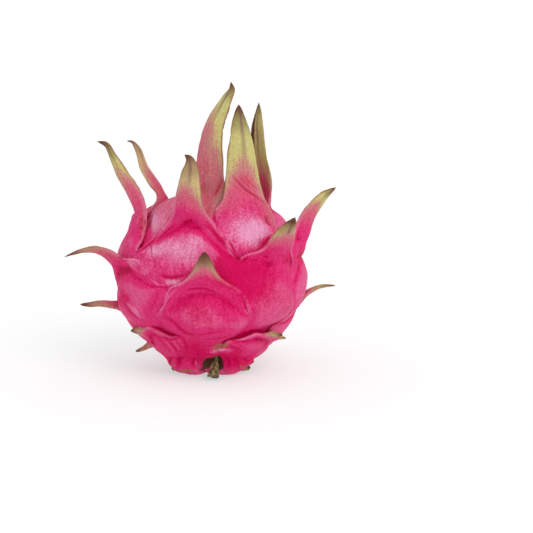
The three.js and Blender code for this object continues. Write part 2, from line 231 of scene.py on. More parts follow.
# %% The table of scales
scales = [
    tongue("crown_left", (-42, 30), (-8, 77), 22, 11, 9.2, green=1, brown=0.14, bloom=0.2, skew=0.2,
           dull=4.5,
           path=[(0, -9, 100), (0.5, -7.5, 112), (2.4, -6, 122.5), (8.5, -4, 134.5),
                 (11.5, -3, 139.5), (11, -2, 143)]),
    tongue("crown_right", (24, 18), (38, 48), 21.5, 18, 11.2, fold=-0.4, turn=1.5, green=1,
           brown=0.2, bloom=0.2, creep=0.3, skew=0.04, dull=0.95,
           path=[(18.3, -19.8, 89.5), (17.4, -16.5, 98.5), (17, -15, 108.5), (16.4, -15, 118.5),
                 (15.5, -13, 126), (15, -11, 132.5)]),
    tongue("crown_far_right", (84, 18), (102, 48), 20, 11, 7.8, swell=1.1, bell=-0.15, twist=35,
           turn=1.38, green=1, brown=0.1, scorch=1, dull=0.4,
           path=[(27.8, 8, 94), (25.4, 9, 106), (24.5, 8, 119.5), (24.5, 6, 132.5)]),
    tongue("crown_back", (156, 6), (160, 50), 21, 11, 7.6,
           path=[(15, 33, 92), (16.5, 35, 103), (16, 33, 113)]),
    tongue("crown_back_left", (-158, 16), (-160, 58), 20, 10.5, 7,
           path=[(-4, 27, 98), (-0.5, 29, 109), (4, 27, 119)]),
    tongue("shoulder_left", (-110, 12), (-110, 56), 19, 10, 5.4, twist=-30, turn=1.55, green=0.6,
           brown=0.25, creep=0.3, dull=1.3,
           path=[(-25.6, 11, 88.5), (-29.2, 12, 93.6), (-32.7, 13.5, 99), (-35.8, 15, 108),
                 (-38.6, 16, 112), (-41.5, 16, 112.5)]),
    tongue("front_high", (-17, -10), (-13, 43), 36, 12.5, 8, lift=1.2, fold=1, turn=1.52, green=0.7,
           brown=0.28, bloom=0.2, skew=0.1, dull=0.65,
           path=[(-8.5, -36, 87.5), (-8, -38, 95), (-7.4, -38, 101.5), (-7, -37, 106.5),
                 (-7.9, -36, 109.5), (-10.2, -35, 111)]),
    tongue("left_high", (-82, -8), (-75, 34), 24, 13.8, 4.3, fold=-0.3, bell=-0.04, twist=56,
           turn=1.64, green=1, brown=0.2, bloom=0.2, skew=0.06, dull=1.5,
           path=[(-32.8, -10.5, 80), (-36.6, -7.5, 90.4), (-42, -4.5, 98.5), (-46.5, -3.5, 107),
                 (-49.5, -3, 112.5), (-54, -2, 114)]),
    tongue("right_front", (30, -30), (46, 19), 31, 16.5, 9.8, fold=-0.4, turn=1.68, green=0.75,
           bloom=0, blush=0.3,
           path=[(35, -33.5, 67.5), (37, -36.5, 73), (39, -39, 77.8), (41.5, -41, 82.2)]),
    tongue("right_high", (84, -28), (86, 15), 23, 15.5, 6.6, swell=1.4, twist=-40, turn=1.7,
           green=1, brown=0.15,
           path=[(45.2, -1, 66.5), (47.2, 1, 72.5), (50.5, 4, 78.5), (56.7, 8, 85.8),
                 (63, 11, 90)]),
    tongue("back_right_high", (130, -24), (139, 15), 22, 10, 6.4, length=22, lean=120, sweep=35),
    tongue("back_left_high", (-146, -16), (-150, 22), 25, 11, 6.6, length=24, lean=125, sweep=-30),
    tongue("front_middle", (-3, -44), (-1, 2), 24, 18, 11.2, fold=0.4, bell=0.2, turn=1.74,
           green=0.6, brown=0.5, bloom=0, creep=0.3,
           path=[(-0.6, -52, 56.5), (-0.4, -55.5, 63), (0, -58, 69)]),
    tongue("left_middle", (-46, -37), (-64, 9), 32, 17.2, 6, turn=1.66, green=0.45, brown=0.4,
           bloom=0.1, dull=1.4,
           path=[(-48, -19, 61), (-53, -21, 63.5), (-59.5, -22, 63.5), (-65, -23, 62),
                 (-69, -24, 60.5)]),
    tongue("left_low", (-82, -58), (-89, -18), 20, 9, 4.2, turn=1.55, green=0.4, brown=0.5,
           path=[(-50, -3, 33.5), (-55, -4, 34), (-59.5, -4, 33.5), (-64, -4, 33.5)]),
    tongue("back_left_middle", (-118, -48), (-124, -8), 23, 10, 6, length=28, lean=100, sweep=-35),
    tongue("back_middle", (-172, -58), (-178, -14), 24, 11, 6.4, lean=80),
    tongue("back_right_middle", (138, -58), (146, -18), 23, 10.5, 6, length=28, lean=88),
    tongue("right_low", (84, -60), (94, -18), 24, 11, 6.2, length=24, lean=80),
    tongue("front_low_left", (-5, -58), (-48, -32), 16, 7.5, 3.6, swell=0.5, turn=1.4, green=0.4,
           brown=0.6, dull=0.5,
           path=[(-34.5, -17, 23), (-38.5, -13, 22)]),
    tongue("front_low_right", (16, -62), (50, -35), 17, 10, 5, length=10, swell=0.6),
    tongue("side_low_left", (-24, -68), (-76, -47), 11, 6.5, 3.6, swell=0.3, turn=1.4, green=0.4,
           brown=0.6,
           path=[(-33, -8, 12), (-36.5, -8, 10.5)]),
    tongue("side_low_right", (40, -70), (90, -46), 15, 8, 4.5, length=9, swell=0.5),
    tongue("back_low_left", (-120, -80), (-136, -44), 18, 9, 5, length=12, swell=0.6),
    tongue("back_low_right", (120, -80), (160, -44), 18, 9, 5, length=12, swell=0.6),
    tongue("lobe_left", (-8, -52), (-56, -70), 12.5, 9.5, 9, swell=1.2,
           path=[(-16.5, -8, 2.2), (-18.5, -8, 2.5)]),
    tongue("lobe_right", (10, -54), (66, -70), 15, 11.5, 9.5, swell=1.2,
           path=[(17.5, -7, 2), (20, -7, 2.5)]),
    tongue("lobe_back_left", (-14, -67), (-146, -66), 14, 11, 8, swell=1.2,
           path=[(-12, 15, 2), (-14, 17.5, 3)]),
    tongue("lobe_back_right", (16, -67), (150, -66), 14, 11, 8, swell=1.2,
           path=[(10, 16, 2), (12, 18.5, 3)]),
]
print(len(scales), "scales,", sum(bool(scale["path"]) for scale in scales), "with a shaped blade")

# %% [markdown]
# ## How a scale is shaped
#
# Every scale is a ball that is drawn out along a line: one pole becomes its foot, deep under the
# scales below, and the other its tip. A few short lists say how wide, how full and how curled it
# is at each place along the line, and a smooth curve is drawn through them. The lines could be
# Blender curves, but points worked out here can also carry the paint.

# %% Smooth curves and directions
GLOBE_CENTRE = Vector((0, 0, 0.0452))
GLOBE_RADIUS = 0.0432
# (latitude, share of the radius): the globe draws in under its middle and spreads at its base.
GLOBE_SHAPE = [(-90, 1.01), (-68, 1), (-56, 0.96), (-36, 0.945), (-8, 1), (90, 1)]


def ease(share):
    """0 to 1 with a soft start and a soft end."""
    return share * share * (3 - 2 * share)


def through(stations, at):
    """The value at a place on a smooth line through (place, value) stations, never past them."""
    if at <= stations[0][0]:
        return stations[0][1]
    if at >= stations[-1][0]:
        return stations[-1][1]
    i = max(k for k, (place, _) in enumerate(stations) if place <= at)
    slopes = [(b[1] - a[1]) / (b[0] - a[0]) for a, b in zip(stations, stations[1:])]

    def tangent(k):
        before, after = slopes[max(k - 1, 0)], slopes[min(k, len(slopes) - 1)]
        return 0.0 if before * after <= 0 else 2 * before * after / (before + after)

    run = stations[i + 1][0] - stations[i][0]
    rise = stations[i + 1][1] - stations[i][1]
    x = (at - stations[i][0]) / run
    bow = run * x * (1 - x) * (tangent(i) * (1 - x) - tangent(i + 1) * x)
    return stations[i][1] + rise * x * x * (3 - 2 * x) + bow


def direction(turn, latitude):
    """The unit vector for a turn and a latitude in degrees."""
    turn, latitude = math.radians(turn), math.radians(latitude)
    across = math.cos(latitude)
    return Vector((math.sin(turn) * across, -math.cos(turn) * across, math.sin(latitude)))


def globe_shape(way):
    return through(GLOBE_SHAPE, math.degrees(math.asin(way.normalized().z)))


print("front:", direction(0, 0)[:], "top:", direction(0, 90)[:])

# %% A smooth line through points
def smooth_line(points, steps):
    """A centripetal Catmull-Rom curve through the points."""
    ends = [2 * points[0] - points[1], *points, 2 * points[-1] - points[-2]]
    line = []
    for step in range(steps + 1):
        place = step / steps * (len(points) - 1)
        i = min(int(place), len(points) - 2)
        x = place - i
        a, b, c, d = ends[i:i + 4]
        ab, bc, cd = (math.sqrt((q - p).length) for p, q in ((a, b), (b, c), (c, d)))
        leave = bc * ((b - a) / ab - (c - a) / (ab + bc) + (c - b) / bc)
        reach = bc * ((c - b) / bc - (d - b) / (bc + cd) + (d - c) / cd)
        line.append(b + x * leave + x * x * (3 * (c - b) - 2 * leave - reach)
                    + x * x * x * (leave + reach - 2 * (c - b)))
    return line


corner = smooth_line([Vector((0, 0, 0)), Vector((1, 0, 0)), Vector((1, 1, 0))], 4)
print("round a corner:", [tuple(round(c, 2) for c in point) for point in corner])

# %% The centre line of a scale
MARGIN = [(0, 0.0415), (0.3, 0.0432), (0.6, 0.0448), (1, 0.0458)]  # from the globe's centre
MARGIN_PLACES = (0, 0.33, 0.66, 1)                                # tied to the globe here
START_LEAN = 12                                                   # of a free blade, in degrees
FREE_STEPS = 4
LINE_STEPS = 600


def free_points(scale, foot, neck, start):
    """The centre line beyond the neck."""
    if scale["path"]:
        return [Vector(point) for point in scale["path"]]
    upward = -(foot - neck * foot.dot(neck)).normalized()
    aside = upward.cross(neck)
    point, points = start.copy(), []
    for step in range(FREE_STEPS):
        share = (step + 0.5) / FREE_STEPS
        lean = math.radians(START_LEAN + (scale["lean"] - START_LEAN) * share)
        ahead = math.cos(lean) * upward + math.sin(lean) * neck
        ahead += math.tan(math.radians(scale["sweep"] * share)) * aside
        point = point + ahead.normalized() * scale["length"] / FREE_STEPS
        points.append(point)
    return points


def centre_line(scale):
    """Points along a scale's middle, and the number of the one at its neck."""
    foot, neck = direction(*scale["foot"]), direction(*scale["neck"])
    turn = foot.rotation_difference(neck)
    points = []
    for at in MARGIN_PLACES:
        way = foot.copy()
        way.rotate(Quaternion().slerp(turn, at))
        lift = scale["lift"] * at * at
        points.append(GLOBE_CENTRE + way * (through(MARGIN, at) + lift) * globe_shape(way))
    points += free_points(scale, foot, neck, points[-1])
    line = smooth_line(points, LINE_STEPS)
    return line, round(LINE_STEPS * (len(MARGIN_PLACES) - 1) / (len(points) - 1))


def line_length(scale):
    line, _ = centre_line(scale)
    return sum((b - a).length for a, b in zip(line, line[1:]))


print(scales[0]["name"], "is", round(1000 * line_length(scales[0])), "mm long")

# %% Cross-sections along the line
TWIST_START, TWIST_RUN = 0.9, 0.5       # the face starts to turn here, and has turned after this


def sections(scale, count):
    """(place, centre, outward normal, side) at even places from the foot to the tip."""
    line, neck_step = centre_line(scale)
    run = np.cumsum([0] + [(b - a).length for a, b in zip(line, line[1:])])
    frames, normal = [], Vector()
    for i in range(count + 1):
        at = 2 * i / count
        blade = run[-1] - run[neck_step]
        far = run[neck_step] * at if at <= 1 else run[neck_step] + (at - 1) * blade
        k = min(int(np.searchsorted(run, far, side="right")) - 1, LINE_STEPS - 1)
        centre = line[k].lerp(line[k + 1], (far - run[k]) / (run[k + 1] - run[k]))
        ahead = (line[min(k + 3, LINE_STEPS)] - line[max(k - 2, 0)]).normalized()
        if at <= 1:
            normal = centre - GLOBE_CENTRE
        normal = (normal - ahead * normal.dot(ahead)).normalized()
        turned = ease(min(max((at - TWIST_START) / TWIST_RUN, 0), 1))
        facing = normal.copy()
        facing.rotate(Quaternion(ahead, math.radians(scale["twist"]) * turned))
        frames.append((at, centre, facing, ahead.cross(facing)))
    return frames


neck_at = sections(scales[0], 10)[5][1]
print("the neck of", scales[0]["name"], "is at", [round(1000 * c) for c in neck_at], "mm")

# %% [markdown]
# ## The relief of one scale
#
# The outer face is a low dome over the pillow. Where the blade takes off there is a fold, and it
# arches like an eyebrow, because the margins run down on both sides of the dome. So the relief
# is read at a place that grows towards the margins. The inner face is a deep belly under the
# pillow, which roots the scale in the globe, and a thin hollow blade above the neck. A texture
# could fake the fibres and wrinkles, but then the outline would stay smooth.

# %% Widths
# (place, share of the pillow's half-width, of the neck's, of the blade's)
WIDTH = [(0, 0, 0, 0), (0.12, 0.42, 0, 0), (0.3, 0.82, 0, 0), (0.5, 1, 0, 0), (0.62, 0.8, 0.2, 0),
         (0.8, 0.38, 0.62, 0), (1, 0, 1, 0), (1.2, 0, 0, 1), (1.4, 0, 0, 0.82), (1.6, 0, 0, 0.67),
         (1.75, 0, 0, 0.52), (1.87, 0, 0, 0.33), (1.95, 0, 0, 0.17), (2, 0, 0, 0)]
BLADE_START, BLADE_RUN = 1.2, 0.8       # the free blade's places


def half_width(scale, at):
    stations = []
    for place, pillow, neck, blade in WIDTH:
        free = max(0, min(1, (place - BLADE_START) / BLADE_RUN))
        blade = max(0, blade - 4 * scale["bell"] * free * (1 - free))
        wide = pillow * scale["spread"] + neck * scale["neck_width"] + blade * scale["blade"]
        stations.append((place, wide))
    return through(stations, at)


print("half-widths:", [round(1000 * half_width(scales[0], at / 4)) for at in range(9)], "mm")

# %% Relief
# These are (place, height in metres) unless they say otherwise.
CROWN = [(0, 0.0004), (0.25, 0.0017), (0.5, 0.0025), (0.75, 0.0021), (1, 0.0014), (1.4, 0.001),
         (1.8, 0.0007), (2, 0.0003)]
FOLD = [(0.6, 0), (0.85, 0.0001), (1.04, -0.0012), (1.2, -0.0001), (1.3, 0)]    # at a full fold
BELLY = [(0, 0.0004), (0.3, 0.004), (0.8, 0.006), (0.95, 0.0045), (1.12, 0.0018), (1.4, 0.001),
         (1.8, 0.0006), (2, 0.0003)]
BEND = [(0, 0.045), (1, 0.045), (1.3, 0.026), (1.6, 0.015), (2, 0.009)]  # radius across a scale
BROW = 0.45             # how far the fold's arch drops towards the margins
EDGE = 0.0003           # how thick a margin is, either side of its middle
EDGE_ENDS = (10, 5)     # how quickly it gets this thick from the foot, and thins to the tip
RIM = [(0.35, 0), (0.6, 0.0003), (1.2, 0.0003), (1.8, 0)]       # how far a margin is turned up
RIM_WIDTH = 0.0011
PLEATS = [(0.5, 0.00003), (0.8, 0.0001), (1.15, 0.00014), (1.5, 0.00008), (2, 0)]
WRINKLES = [(0.7, 0), (0.9, 0.00006), (1.15, 0.00009), (1.3, 0)]        # they run across the neck
FIBRE_GAP, FIBRE_RUN = 0.0016, 0.008    # the size of a pleat, across and along
WRINKLE_STRETCH = 0.25                  # how much slower a wrinkle changes across than a pleat
PLACE_RUN = 0.05                        # metres from one place to the next, roughly


def relief(scale, at, across, outer, inset=0):
    """How far the surface stands off the scale's middle sheet, at an inset from the margin."""
    dome = max(0, 1 - across * across)
    edge = EDGE * math.sqrt(dome) * min(1, EDGE_ENDS[1] * (2 - at), EDGE_ENDS[0] * at)
    if not outer:
        return -through(BELLY, at) * dome - edge
    swell = scale["swell"] if at < 1 else 1
    fold = scale["fold"] * through(FOLD, at + BROW * across * across)
    rim = through(RIM, at) * math.exp(-((inset - RIM_WIDTH) / RIM_WIDTH) ** 2)
    aside = across * half_width(scale, at) / FIBRE_GAP
    own = 10 * scale["spread"] + scale["neck"][0]       # so that no two scales are alike
    pleat = noise.noise((aside, at * PLACE_RUN / FIBRE_RUN, own))
    wrinkle = noise.noise((WRINKLE_STRETCH * aside, at * PLACE_RUN / FIBRE_GAP, own + 5))
    fine = through(PLEATS, at) * pleat + through(WRINKLES, at) * wrinkle
    return (through(CROWN, at) * swell + fold) * dome + rim + edge + fine


print("dome of a pillow:", round(1000 * relief(scales[6], 0.5, 0, True), 1), "mm")

# %% [markdown]
# ## What the paint has to know
#
# The colours follow each scale: bloom on its dome, which is partly painted highlight, crimson under
# its brow, which is partly painted shade, green where it is ripe, brown at its tip. A texture image
# could hold that, but it would have to be unwrapped and painted by hand. Here every corner of every
# face carries a few numbers instead. "chart" says where it is on its scale, and "paint" how it is
# coloured, and both survive the Boolean.

# %% The paint of a place on a scale
# (place, half-length, half-width) of the soft patches on a scale, and the same for its brow. The
# dome's bloom is partly painted highlight, and the brow's crimson partly painted shade under the
# fold.
DOME_PATCH, BLUSH_PATCH, BROW_PATCH = (0.55, 0.28, 0.62), (0.62, 0.36, 0.75), (1.02, 0.08)
SCORCH_SIDE, SCORCH_START = 0.6, 1.45   # brown beyond this across and beyond this place,
SCORCH_FADES = (8, 5)                   # and how fast it fades inwards and down
FAR_IN = 9.0                            # an inset, in mm, that is well away from any margin
PLAIN_CHART = (0.0, 0.4, FAR_IN)        # (across, along, inset) where there is no scale
# (flush, ripe, dry, green) there: neither ripe nor dry, crimson as well, quite dry, half dry.
PLAIN_PAINT = (0.0, -3.0, -3.0, 0.0)
DEEP_PAINT = (-1.0, -3.0, -3.0, 0.0)
DRY_PAINT = (0.0, -3.0, 1.0, 0.0)
WORN_PAINT = (-0.5, -3.0, 0.45, 0.0)


def patch(at, across, middle, long, wide=1):
    return math.exp(-((at - middle) / long) ** 2 - (across / wide) ** 2)


def tint(scale, at, across):
    """(flush, ripe, dry, green): flush is bloom above 0 and crimson below it, ripe runs from 0
    where the blade starts to turn green, and dry from 0 where it starts to turn brown, to 1."""
    # The bloom on the dome is partly painted highlight, and the crimson under the brow partly
    # painted shade.
    brow = patch(at + BROW * across * across, 0, *BROW_PATCH)
    flush = (scale["bloom"] * patch(at, across, *DOME_PATCH)
             - scale["blush"] * patch(at, across, *BLUSH_PATCH) - max(0, scale["fold"]) * brow)
    place = at + scale["creep"] * across * across + scale["skew"] * across
    ripe = (place - scale["turn"]) / (2 - scale["turn"])
    if place < scale["turn"]:
        ripe /= scale["dull"]
    dry = (at - 2) / (BLADE_RUN * scale["brown"]) + 1
    if scale["scorch"]:
        inwards = max(0, SCORCH_SIDE - across * scale["scorch"])
        dry = max(dry, 1 - SCORCH_FADES[0] * inwards - SCORCH_FADES[1] * max(0, SCORCH_START - at))
    return flush, ripe, dry, scale["green"]


print("a brow's tint:", [round(part, 2) for part in tint(scales[6], 1, 0)])

# %% Store it at the corners
def face_paint(scale, face, spots):
    """The (chart, paint) of each corner. The inset is in mm, and -1 on the inner face."""
    known = [spots[vert] for vert in face.verts if spots[vert][3]]
    inner = any(inset < 0 for _, _, inset, _ in known)
    middle = sum(across for _, across, _, _ in known) / len(known)
    corners = []
    for vert in face.verts:
        at, across, inset, ringed = spots[vert]
        across = across if ringed else middle
        corners.append(((across, at, -1 if inner else max(inset, 0)), tint(scale, at, across)))
    return corners


def mark(bm, piece, paint_of):
    """Stores a piece's number on its faces, and its chart and paint on their corners. paint_of
    gives them for a face, or is one paint for all of it."""
    number = bm.faces.layers.int.new("piece")
    chart = bm.loops.layers.float_vector.new("chart")
    paint = bm.loops.layers.float_color.new("paint")
    for face in bm.faces:
        face[number] = piece
        corners = (paint_of(face) if callable(paint_of)
                   else [(PLAIN_CHART, paint_of)] * len(face.verts))
        for loop, (spot, colour) in zip(face.loops, corners):
            loop[chart] = spot
            loop[paint] = colour


print("the first five numbers of bare skin:", PLAIN_CHART + PLAIN_PAINT[:2])

# %% [markdown]
# ## Making a scale with bmesh
#
# A scale could be a rolled-up grid, but then its ends and its seam would have to be closed. A UV
# sphere already has the right pattern of faces: rings from pole to pole, closed at both ends.
# So each scale starts from create_uvsphere, and its rings are moved onto the cross-sections.
# More of the points go to the outer face, which shows, than to the belly.

# %% A scale
FINENESS = 0.00105      # metres between points along a scale
FINENESS_ACROSS = 1.2   # times that across it
INNER_SHARE = 0.45      # points on the inner face for one on the outer face
FEWEST_INNER = 12


def spacing(scale):
    """(rings, steps over the outer face, steps over the inner face) for even points."""
    outer = round(2 * scale["spread"] / FINENESS / FINENESS_ACROSS)
    inner = max(FEWEST_INNER, round(INNER_SHARE * outer))
    return round(line_length(scale) / FINENESS), outer, inner


def scale_bmesh(scale, piece):
    """A closed scale, with its places and its paint stored on its corners."""
    rings, outer_steps, inner_steps = spacing(scale)
    around = outer_steps + inner_steps
    bm = bmesh.new()
    bmesh.ops.create_uvsphere(bm, u_segments=around, v_segments=rings, radius=1)
    frames = sections(scale, rings)
    widths = [half_width(scale, frame[0]) for frame in frames]
    bends = [through(BEND, frame[0]) for frame in frames]
    spots = {}
    for vert in bm.verts:
        ring = round(math.acos(max(-1, min(1, -vert.co.z))) / math.pi * rings)
        step = round(math.atan2(vert.co.y, vert.co.x) / (2 * math.pi) * around) % around
        outer = step <= outer_steps
        share = step / outer_steps if outer else 1 - (step - outer_steps) / inner_steps
        across = 0.5 * (2 * share - 1) - 0.5 * math.cos(math.pi * share)
        at, centre, facing, side = frames[ring]
        wide, bend, pole = widths[ring], bends[ring], not 0 < ring < rings
        inset, angle = wide * (1 - abs(across)), wide * across / bend
        reach = bend + (0 if pole else relief(scale, at, across, outer, inset))
        vert.co = (centre + side * reach * math.sin(angle)
                   + facing * (reach * math.cos(angle) - bend))
        spots[vert] = (at, across, 1000 * inset if outer else -1, not pole)
    bmesh.ops.recalc_face_normals(bm, faces=bm.faces)
    mark(bm, piece, lambda face: face_paint(scale, face, spots))
    return bm


tongues = {scale["name"]: scale_bmesh(scale, piece) for piece, scale in enumerate(scales, start=1)}
print(len(tongues), "scales of", sum(len(bm.faces) for bm in tongues.values()), "faces in all")

# %% [markdown]
# ## One body
#
# The globe is a sphere with the same gentle waist as the real fruit. Where the flower was there
# is a dried dish with a scar in it, and the scales round it stand over its edge, so it is cut
# from the globe before they are joined to it. The scales could stay loose shells, but their
# joins could not be softened then. A Boolean union joins them all at once: what was hidden
# inside goes away, and one closed skin is left. The Manifold solver is quick, and it keeps the
# numbers stored on the faces and corners. The hollow round the stem and the flat spot that the
# fruit rests on are cut last, through whatever is there.

# %% The sizes of the globe and of its cuts
GLOBE, DISH, SCAR, HOLLOW, TABLE = 0, 41, 42, 43, 44    # piece numbers beside the scales' own
GLOBE_MESH = dict(u_segments=128, v_segments=80)
BUTTON_MESH = dict(u_segments=48, v_segments=24)
NAVEL_WAY = direction(180, 70)
NAVEL_UP = 0.0452                       # how far its rim is from the globe's centre
NAVEL_RADIUS, NAVEL_DEPTH = 0.0095, 0.005
SCAR_RADIUS, SCAR_HEIGHT = 0.0055, 0.0022
# The hollow round the stem is a tent: wide at the table and narrow at its top, which leans back.
HOLLOW_FOOT, HOLLOW_TOP = Vector((0.0004, -0.0262, -0.003)), Vector((0.0036, -0.0175, 0.0148))
HOLLOW_RADII = (0.0102, 0.0012)
HOLLOW_AROUND, HOLLOW_CUTS = 40, 15
RAGGED_OFTEN, RAGGED = 350, 0.25        # bumps in a metre of the tent's wall, and their share of it
TABLE_WIDE, TABLE_THICK = 0.2, 0.04


dish_at = GLOBE_CENTRE + NAVEL_UP * NAVEL_WAY
scar_at = dish_at - NAVEL_DEPTH * NAVEL_WAY
print("the navel's rim is", round(1000 * dish_at.z), "mm up, and its scar", round(1000 * scar_at.z))

# %% The globe and the tools
def stand(bm, way, at):
    """Turns what was made along Z to a direction, and moves it to a place."""
    bmesh.ops.rotate(bm, cent=(0, 0, 0), verts=bm.verts,
                     matrix=UP.rotation_difference(way).to_matrix())
    bmesh.ops.translate(bm, vec=at, verts=bm.verts)


def cone_bmesh(long, radii, around):
    """A blunt cone that stands on the origin."""
    bm = bmesh.new()
    bmesh.ops.create_cone(bm, cap_ends=True, segments=around, radius1=radii[0], radius2=radii[1],
                          depth=long)
    bmesh.ops.translate(bm, vec=(0, 0, long / 2), verts=bm.verts)
    return bm


def globe_bmesh():
    bm = bmesh.new()
    bmesh.ops.create_uvsphere(bm, radius=GLOBE_RADIUS, **GLOBE_MESH)
    for vert in bm.verts:
        vert.co = GLOBE_CENTRE + vert.co * globe_shape(vert.co)
    mark(bm, GLOBE, PLAIN_PAINT)
    return bm


def button_bmesh(radius, high, at, piece, paint):
    """A squashed ball that faces the way the navel does."""
    bm = bmesh.new()
    bmesh.ops.create_uvsphere(bm, radius=1, **BUTTON_MESH)
    bmesh.ops.scale(bm, vec=(radius, radius, high), verts=bm.verts)
    stand(bm, NAVEL_WAY, at)
    mark(bm, piece, paint)
    return bm


def tent_bmesh():
    """A round tent with a ragged wall."""
    axis = HOLLOW_TOP - HOLLOW_FOOT
    bm = cone_bmesh(axis.length, HOLLOW_RADII, HOLLOW_AROUND)
    poles = [edge for edge in bm.edges if edge.calc_length() > axis.length / 2]
    bmesh.ops.subdivide_edges(bm, edges=poles, cuts=HOLLOW_CUTS)
    for vert in bm.verts:
        vert.co.xy *= 1 + RAGGED * noise.noise(vert.co * RAGGED_OFTEN)
    stand(bm, axis.normalized(), HOLLOW_FOOT)
    mark(bm, HOLLOW, DRY_PAINT)
    return bm


def table_bmesh():
    bm = bmesh.new()
    bmesh.ops.create_cube(bm, size=1)
    bmesh.ops.scale(bm, vec=(TABLE_WIDE, TABLE_WIDE, TABLE_THICK), verts=bm.verts)
    bmesh.ops.translate(bm, vec=(0, 0, -TABLE_THICK / 2), verts=bm.verts)
    mark(bm, TABLE, DEEP_PAINT)
    return bm


globe = globe_bmesh()
print("a globe of", len(globe.faces), "faces")

# %% Join and cut
def combine(body, how, **tools):
    """Joins an object with named bmeshes, or cuts them from it."""
    shop = bpy.data.collections.new("shop")
    home.children.link(shop)
    for name, bm in tools.items():
        as_object(bm, name, shop)
    step = body.modifiers.new(how, "BOOLEAN")
    step.operation, step.solver = how, "MANIFOLD"
    step.operand_type, step.collection = "COLLECTION", shop
    graph = bpy.context.evaluated_depsgraph_get()
    body.data = bpy.data.meshes.new_from_object(body.evaluated_get(graph))
    body.modifiers.clear()
    for tool in list(shop.objects):
        bpy.data.objects.remove(tool)
    bpy.data.collections.remove(shop)
    print(how, "with", *tools, "leaves", len(body.data.polygons), "faces")


rind = as_object(globe, "rind")
combine(rind, "DIFFERENCE",
        dish=button_bmesh(NAVEL_RADIUS, NAVEL_DEPTH, dish_at, DISH, WORN_PAINT))
combine(rind, "UNION", scar=button_bmesh(SCAR_RADIUS, SCAR_HEIGHT, scar_at, SCAR, DRY_PAINT))
combine(rind, "UNION", **tongues)
combine(rind, "DIFFERENCE", hollow=tent_bmesh())
combine(rind, "DIFFERENCE", table=table_bmesh())

# %% [markdown]
# ## Softening the joins
#
# A Boolean leaves knife-sharp creases, and flesh has none. A bevel would need clean edges. The
# creases are easy to find another way: they are the edges between faces of two different
# pieces. Points near them are smoothed a few times, and the rest of the surface stays as it was
# modelled. Near the stem, where the lobes melt into each other, more of it is smoothed.

# %% Soften
FLAT = 0.0004                   # what is below this belongs to the flat spot
WELD = 0.00025                  # points closer than this become one
SEAM_RINGS, SEAM_PASSES = 1, 3
LOW_SEAMS, LOW_SIDES = 0.014, 0.027     # how high up and how far aside the lobes melt together
LOW_RINGS, LOW_PASSES = 3, 14


def smooth_near(bm, seam, rings, passes):
    """Smooths the points that are up to so many rings away from a seam."""
    for _ in range(rings):
        seam = seam | {edge.other_vert(vert) for vert in seam for edge in vert.link_edges}
    free = [vert for vert in seam if vert.co.z > FLAT]
    for _ in range(passes):
        bmesh.ops.smooth_vert(bm, verts=free, factor=0.5, use_axis_x=True, use_axis_y=True,
                              use_axis_z=True)


def small_faces(bm):
    """Splits the faces of many corners that a cut leaves."""
    bmesh.ops.triangulate(bm, faces=[face for face in bm.faces if len(face.verts) > 4])


def give_back(bm, made):
    """Puts the bmesh back in its object, shaded smooth."""
    for face in bm.faces:
        face.smooth = True
    bm.to_mesh(made.data)
    bm.free()


def soften(rind):
    bm = bmesh.new()
    bm.from_mesh(rind.data)
    small_faces(bm)
    bmesh.ops.remove_doubles(bm, verts=bm.verts, dist=WELD)
    number = bm.faces.layers.int["piece"]
    seam = {vert for edge in bm.edges if len({face[number] for face in edge.link_faces}) > 1
            for vert in edge.verts}
    low = {vert for vert in seam if vert.co.z < LOW_SEAMS and abs(vert.co.x) < LOW_SIDES
           and not any(face[number] == HOLLOW for face in vert.link_faces)}
    smooth_near(bm, seam, SEAM_RINGS, SEAM_PASSES)
    smooth_near(bm, low, LOW_RINGS, LOW_PASSES)
    give_back(bm, rind)
    return len(seam)


print(soften(rind), "points softened,", len(rind.data.polygons), "faces")

# %% [markdown]
# ## Uneven flesh
#
# No part of a fruit is as even as a curve. A Displace modifier could roughen the skin, but it
# would lift the flat spot too. So each point is moved along its normal by a slow noise, and the
# folds round the stem, like the neck of a gathered bag, come from a noise that runs round it.

# %% Uneven flesh
LOWEST = 0.0003                             # nothing above the flat spot comes lower than this
UNEVEN = ((90, 0.0004), (260, 0.00018))     # (bumps in a metre, height)
GATHER = 0.003                              # the height of the folds round the stem
GATHER_TOP, GATHER_FADE = 0.017, 0.7        # where they have faded out, and how bluntly
GATHER_ROUND, GATHER_UP = 5, 40             # how often they come, round and up


def gathered(at):
    """The folds round the stem, from -1 to 1."""
    low = max(0, 1 - at.z / GATHER_TOP) ** GATHER_FADE
    turn = math.atan2(at.x, -at.y)
    return low * noise.noise((GATHER_ROUND * math.sin(turn), GATHER_ROUND * math.cos(turn),
                              GATHER_UP * at.z + 3))


def roughen(rind):
    mesh = rind.data
    normals = [vert.normal.copy() for vert in mesh.vertices]
    for vert, normal in zip(mesh.vertices, normals):
        if vert.co.z > LOWEST:
            off = sum(high * noise.noise(vert.co * often) for often, high in UNEVEN)
            vert.co += normal * (off + GATHER * gathered(vert.co))
            vert.co.z = max(vert.co.z, LOWEST)
    mesh.update()


roughen(rind)
print("uneven by up to", round(1000 * sum(high for _, high in UNEVEN), 2), "mm")
